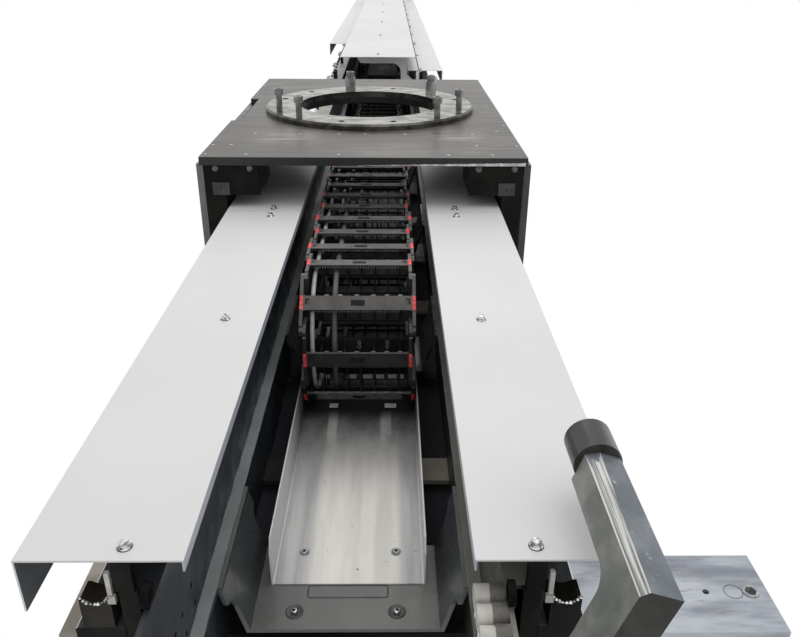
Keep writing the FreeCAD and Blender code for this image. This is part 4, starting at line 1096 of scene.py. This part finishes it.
face_materials("levelling_screws",
               (floor_plate_steel, lambda c, n: c.y > FRONT_PLATE_REAR or abs(c.x) < PLUG_SIDE))
for name in ("left_guide_rail", "right_guide_rail"):
    face_materials(name, (black_paint, lambda c, n: abs(n.y) > 0.5))
for name, end in (("front_end_stop", -1), ("rear_end_stop", 1)):
    face_materials(name, (stop_blue, lambda c, n: n.z > 0.9 or n.x > 0.9),
                   (milled, lambda c, n: -0.8 < n.x < -0.15 and n.z > 0.6),
                   (stop_end, lambda c, n, end=end: n.y * end > 0.7))
# The glands' mouths and the glands left of the middle are painted near black as painted shade.
face_materials("cable_fittings", (gland_dark, lambda c, n: c.x > GLAND_SPLIT_X),
               (shade_and_dark_marks, lambda c, n: c.z > GLAND_MOUTH_Z or c.x < 0))
face_materials("front_rail_blocks", (block_brown, lambda c, n: c.x < 0))
face_materials("left_beam", (beam_top, lambda c, n: n.z > 0.9 and c.z > BEAM_TOP_ABOVE))
face_materials("robot_ring", (ring_side, lambda c, n: c.z < RING[1].z - MARK_T and abs(n.z) < 0.95))


def under_cover(c, n):
    """The underside of a cover and the inner face of its outer wall, which are painted darker as painted
    shade.
    """
    return n.z < -0.5 or (abs(c.x) > COVER_OUTER_X and n.x * c.x < 0)


for name in ("right_front_covers", "left_front_covers", "right_rear_covers", "left_rear_covers"):
    face_materials(name, (cover_shaded_under, under_cover),
                   (cover_lip, lambda c, n: abs(c.x) < COVER_LIP_X and c.z < COVER_TOP - 0.001))


# Studio: pale floor and backdrop, soft light, and the photograph's camera

def white_rays(tree):
    """1 for what the camera sees directly, in gloss or through glass."""
    path = tree.nodes.new("ShaderNodeLightPath")
    value = path.outputs["Is Camera Ray"]
    for kind in ("Is Glossy Ray", "Is Transmission Ray"):
        value = sums(tree, "MAXIMUM", value, path.outputs[kind])
    return value


CHANNEL_HALF = (0.242, 0.246)
END_INSET = (0.30, 0.34)


def studio_white(name, tone):
    """Pale grey to the light, plain white to the camera. Under the channel it is painted near black as
    painted shade.
    """
    material, tree, shader = new_material(name)
    shader.inputs["Roughness"].default_value = 0.9
    axes = split(tree, stretched(tree))
    inside = span(tree, sums(tree, "ABSOLUTE", axes["X"]), *CHANNEL_HALF, 1.0, 0.0)
    low, high = END_INSET
    front = span(tree, axes["Y"], BEAM[0].y + low, BEAM[0].y + high)
    back = span(tree, axes["Y"], BEAM[1].y - high, BEAM[1].y - low, 1.0, 0.0)
    for end in (front, back):
        inside = sums(tree, "MULTIPLY", inside, end)
    # Near black under the channel: painted shade.
    tree.links.new(mixed(tree, inside, tone, (0.02, 0.022, 0.028)), shader.inputs["Base Color"])
    outside = span(tree, inside, 0.4, 0.6, 1.0, 0.0)
    seen = sums(tree, "MULTIPLY", white_rays(tree), outside)
    glow = tree.nodes.new("ShaderNodeEmission")
    glow.inputs["Color"].default_value = (1, 1, 1, 1)
    glow.inputs["Strength"].default_value = 1.0
    mix = tree.nodes.new("ShaderNodeMixShader")
    tree.links.new(seen, mix.inputs["Fac"])
    tree.links.new(shader.outputs["BSDF"], mix.inputs[1])
    tree.links.new(glow.outputs["Emission"], mix.inputs[2])
    tree.links.new(mix.outputs["Shader"], tree.nodes["Material Output"].inputs["Surface"])
    return material


floor_tone = studio_white("studio_floor", (0.8, 0.8, 0.8))
floor = build("floor", [block(-30, 30, -25, 45, -0.02, -0.001)], floor_tone)

world = bpy.data.worlds.new("studio")
bpy.context.scene.world = world
world.use_nodes = True
LOW_LIGHT, HIGH_LIGHT = 0.50, 0.92
sky = world.node_tree
backdrop = sky.nodes["Background"]
backdrop.inputs["Color"].default_value = (1, 1, 1, 1)
ways = sky.nodes.new("ShaderNodeTexCoord")
dome = span(sky, split(sky, ways.outputs["Generated"])["Z"], 0.0, 0.8, LOW_LIGHT, HIGH_LIGHT)
blend_light = sky.nodes.new("ShaderNodeMix")
blend_light.data_type = "FLOAT"
sky.links.new(white_rays(sky), blend_light.inputs["Factor"])
sky.links.new(dome, blend_light.inputs["A"])
blend_light.inputs["B"].default_value = 1.0
sky.links.new(blend_light.outputs["Result"], backdrop.inputs["Strength"])


def area(name, place, aim, size, power):
    """A soft lamp that looks at a point."""
    light = bpy.data.lights.new(name, "AREA")
    light.shape = "RECTANGLE"
    light.size, light.size_y = size
    light.energy = power
    obj = bpy.data.objects.new(name, light)
    bpy.context.scene.collection.objects.link(obj)
    obj.location = place
    obj.rotation_euler = (Vector(aim) - Vector(place)).to_track_quat("-Z", "Y").to_euler()


area("key_light", (0.5, 1.2, 4.2), (0, 1.0, 0.4), (2.6, 4.0), 34)
area("far_light", (0.0, 8.5, 4.5), (0, 8.5, 0.4), (3.0, 8.0), 60)


def camera():
    """The calibrated view: the photograph's centre, turned and pitched towards the track."""
    ahead = Vector((math.sin(YAW) * math.cos(PITCH), math.cos(YAW) * math.cos(PITCH), -math.sin(PITCH)))
    level = Vector((math.cos(YAW), -math.sin(YAW), 0))
    down = ahead.cross(level)
    right = math.cos(ROLL) * level + math.sin(ROLL) * down
    low = -math.sin(ROLL) * level + math.cos(ROLL) * down
    data = bpy.data.cameras.new("photo_camera")
    data.sensor_fit = "HORIZONTAL"
    data.sensor_width = SENSOR_MM
    data.lens = FOCAL_PX / PICTURE_WIDTH * SENSOR_MM
    data.clip_start = 0.05
    data.clip_end = 200
    obj = bpy.data.objects.new("photo_camera", data)
    bpy.context.scene.collection.objects.link(obj)
    turn = Matrix((right, -low, -ahead)).transposed().to_4x4()
    obj.matrix_world = Matrix.Translation(CAMERA_AT) @ turn
    bpy.context.scene.camera = obj


camera()
bpy.context.scene.view_settings.view_transform = "Standard"
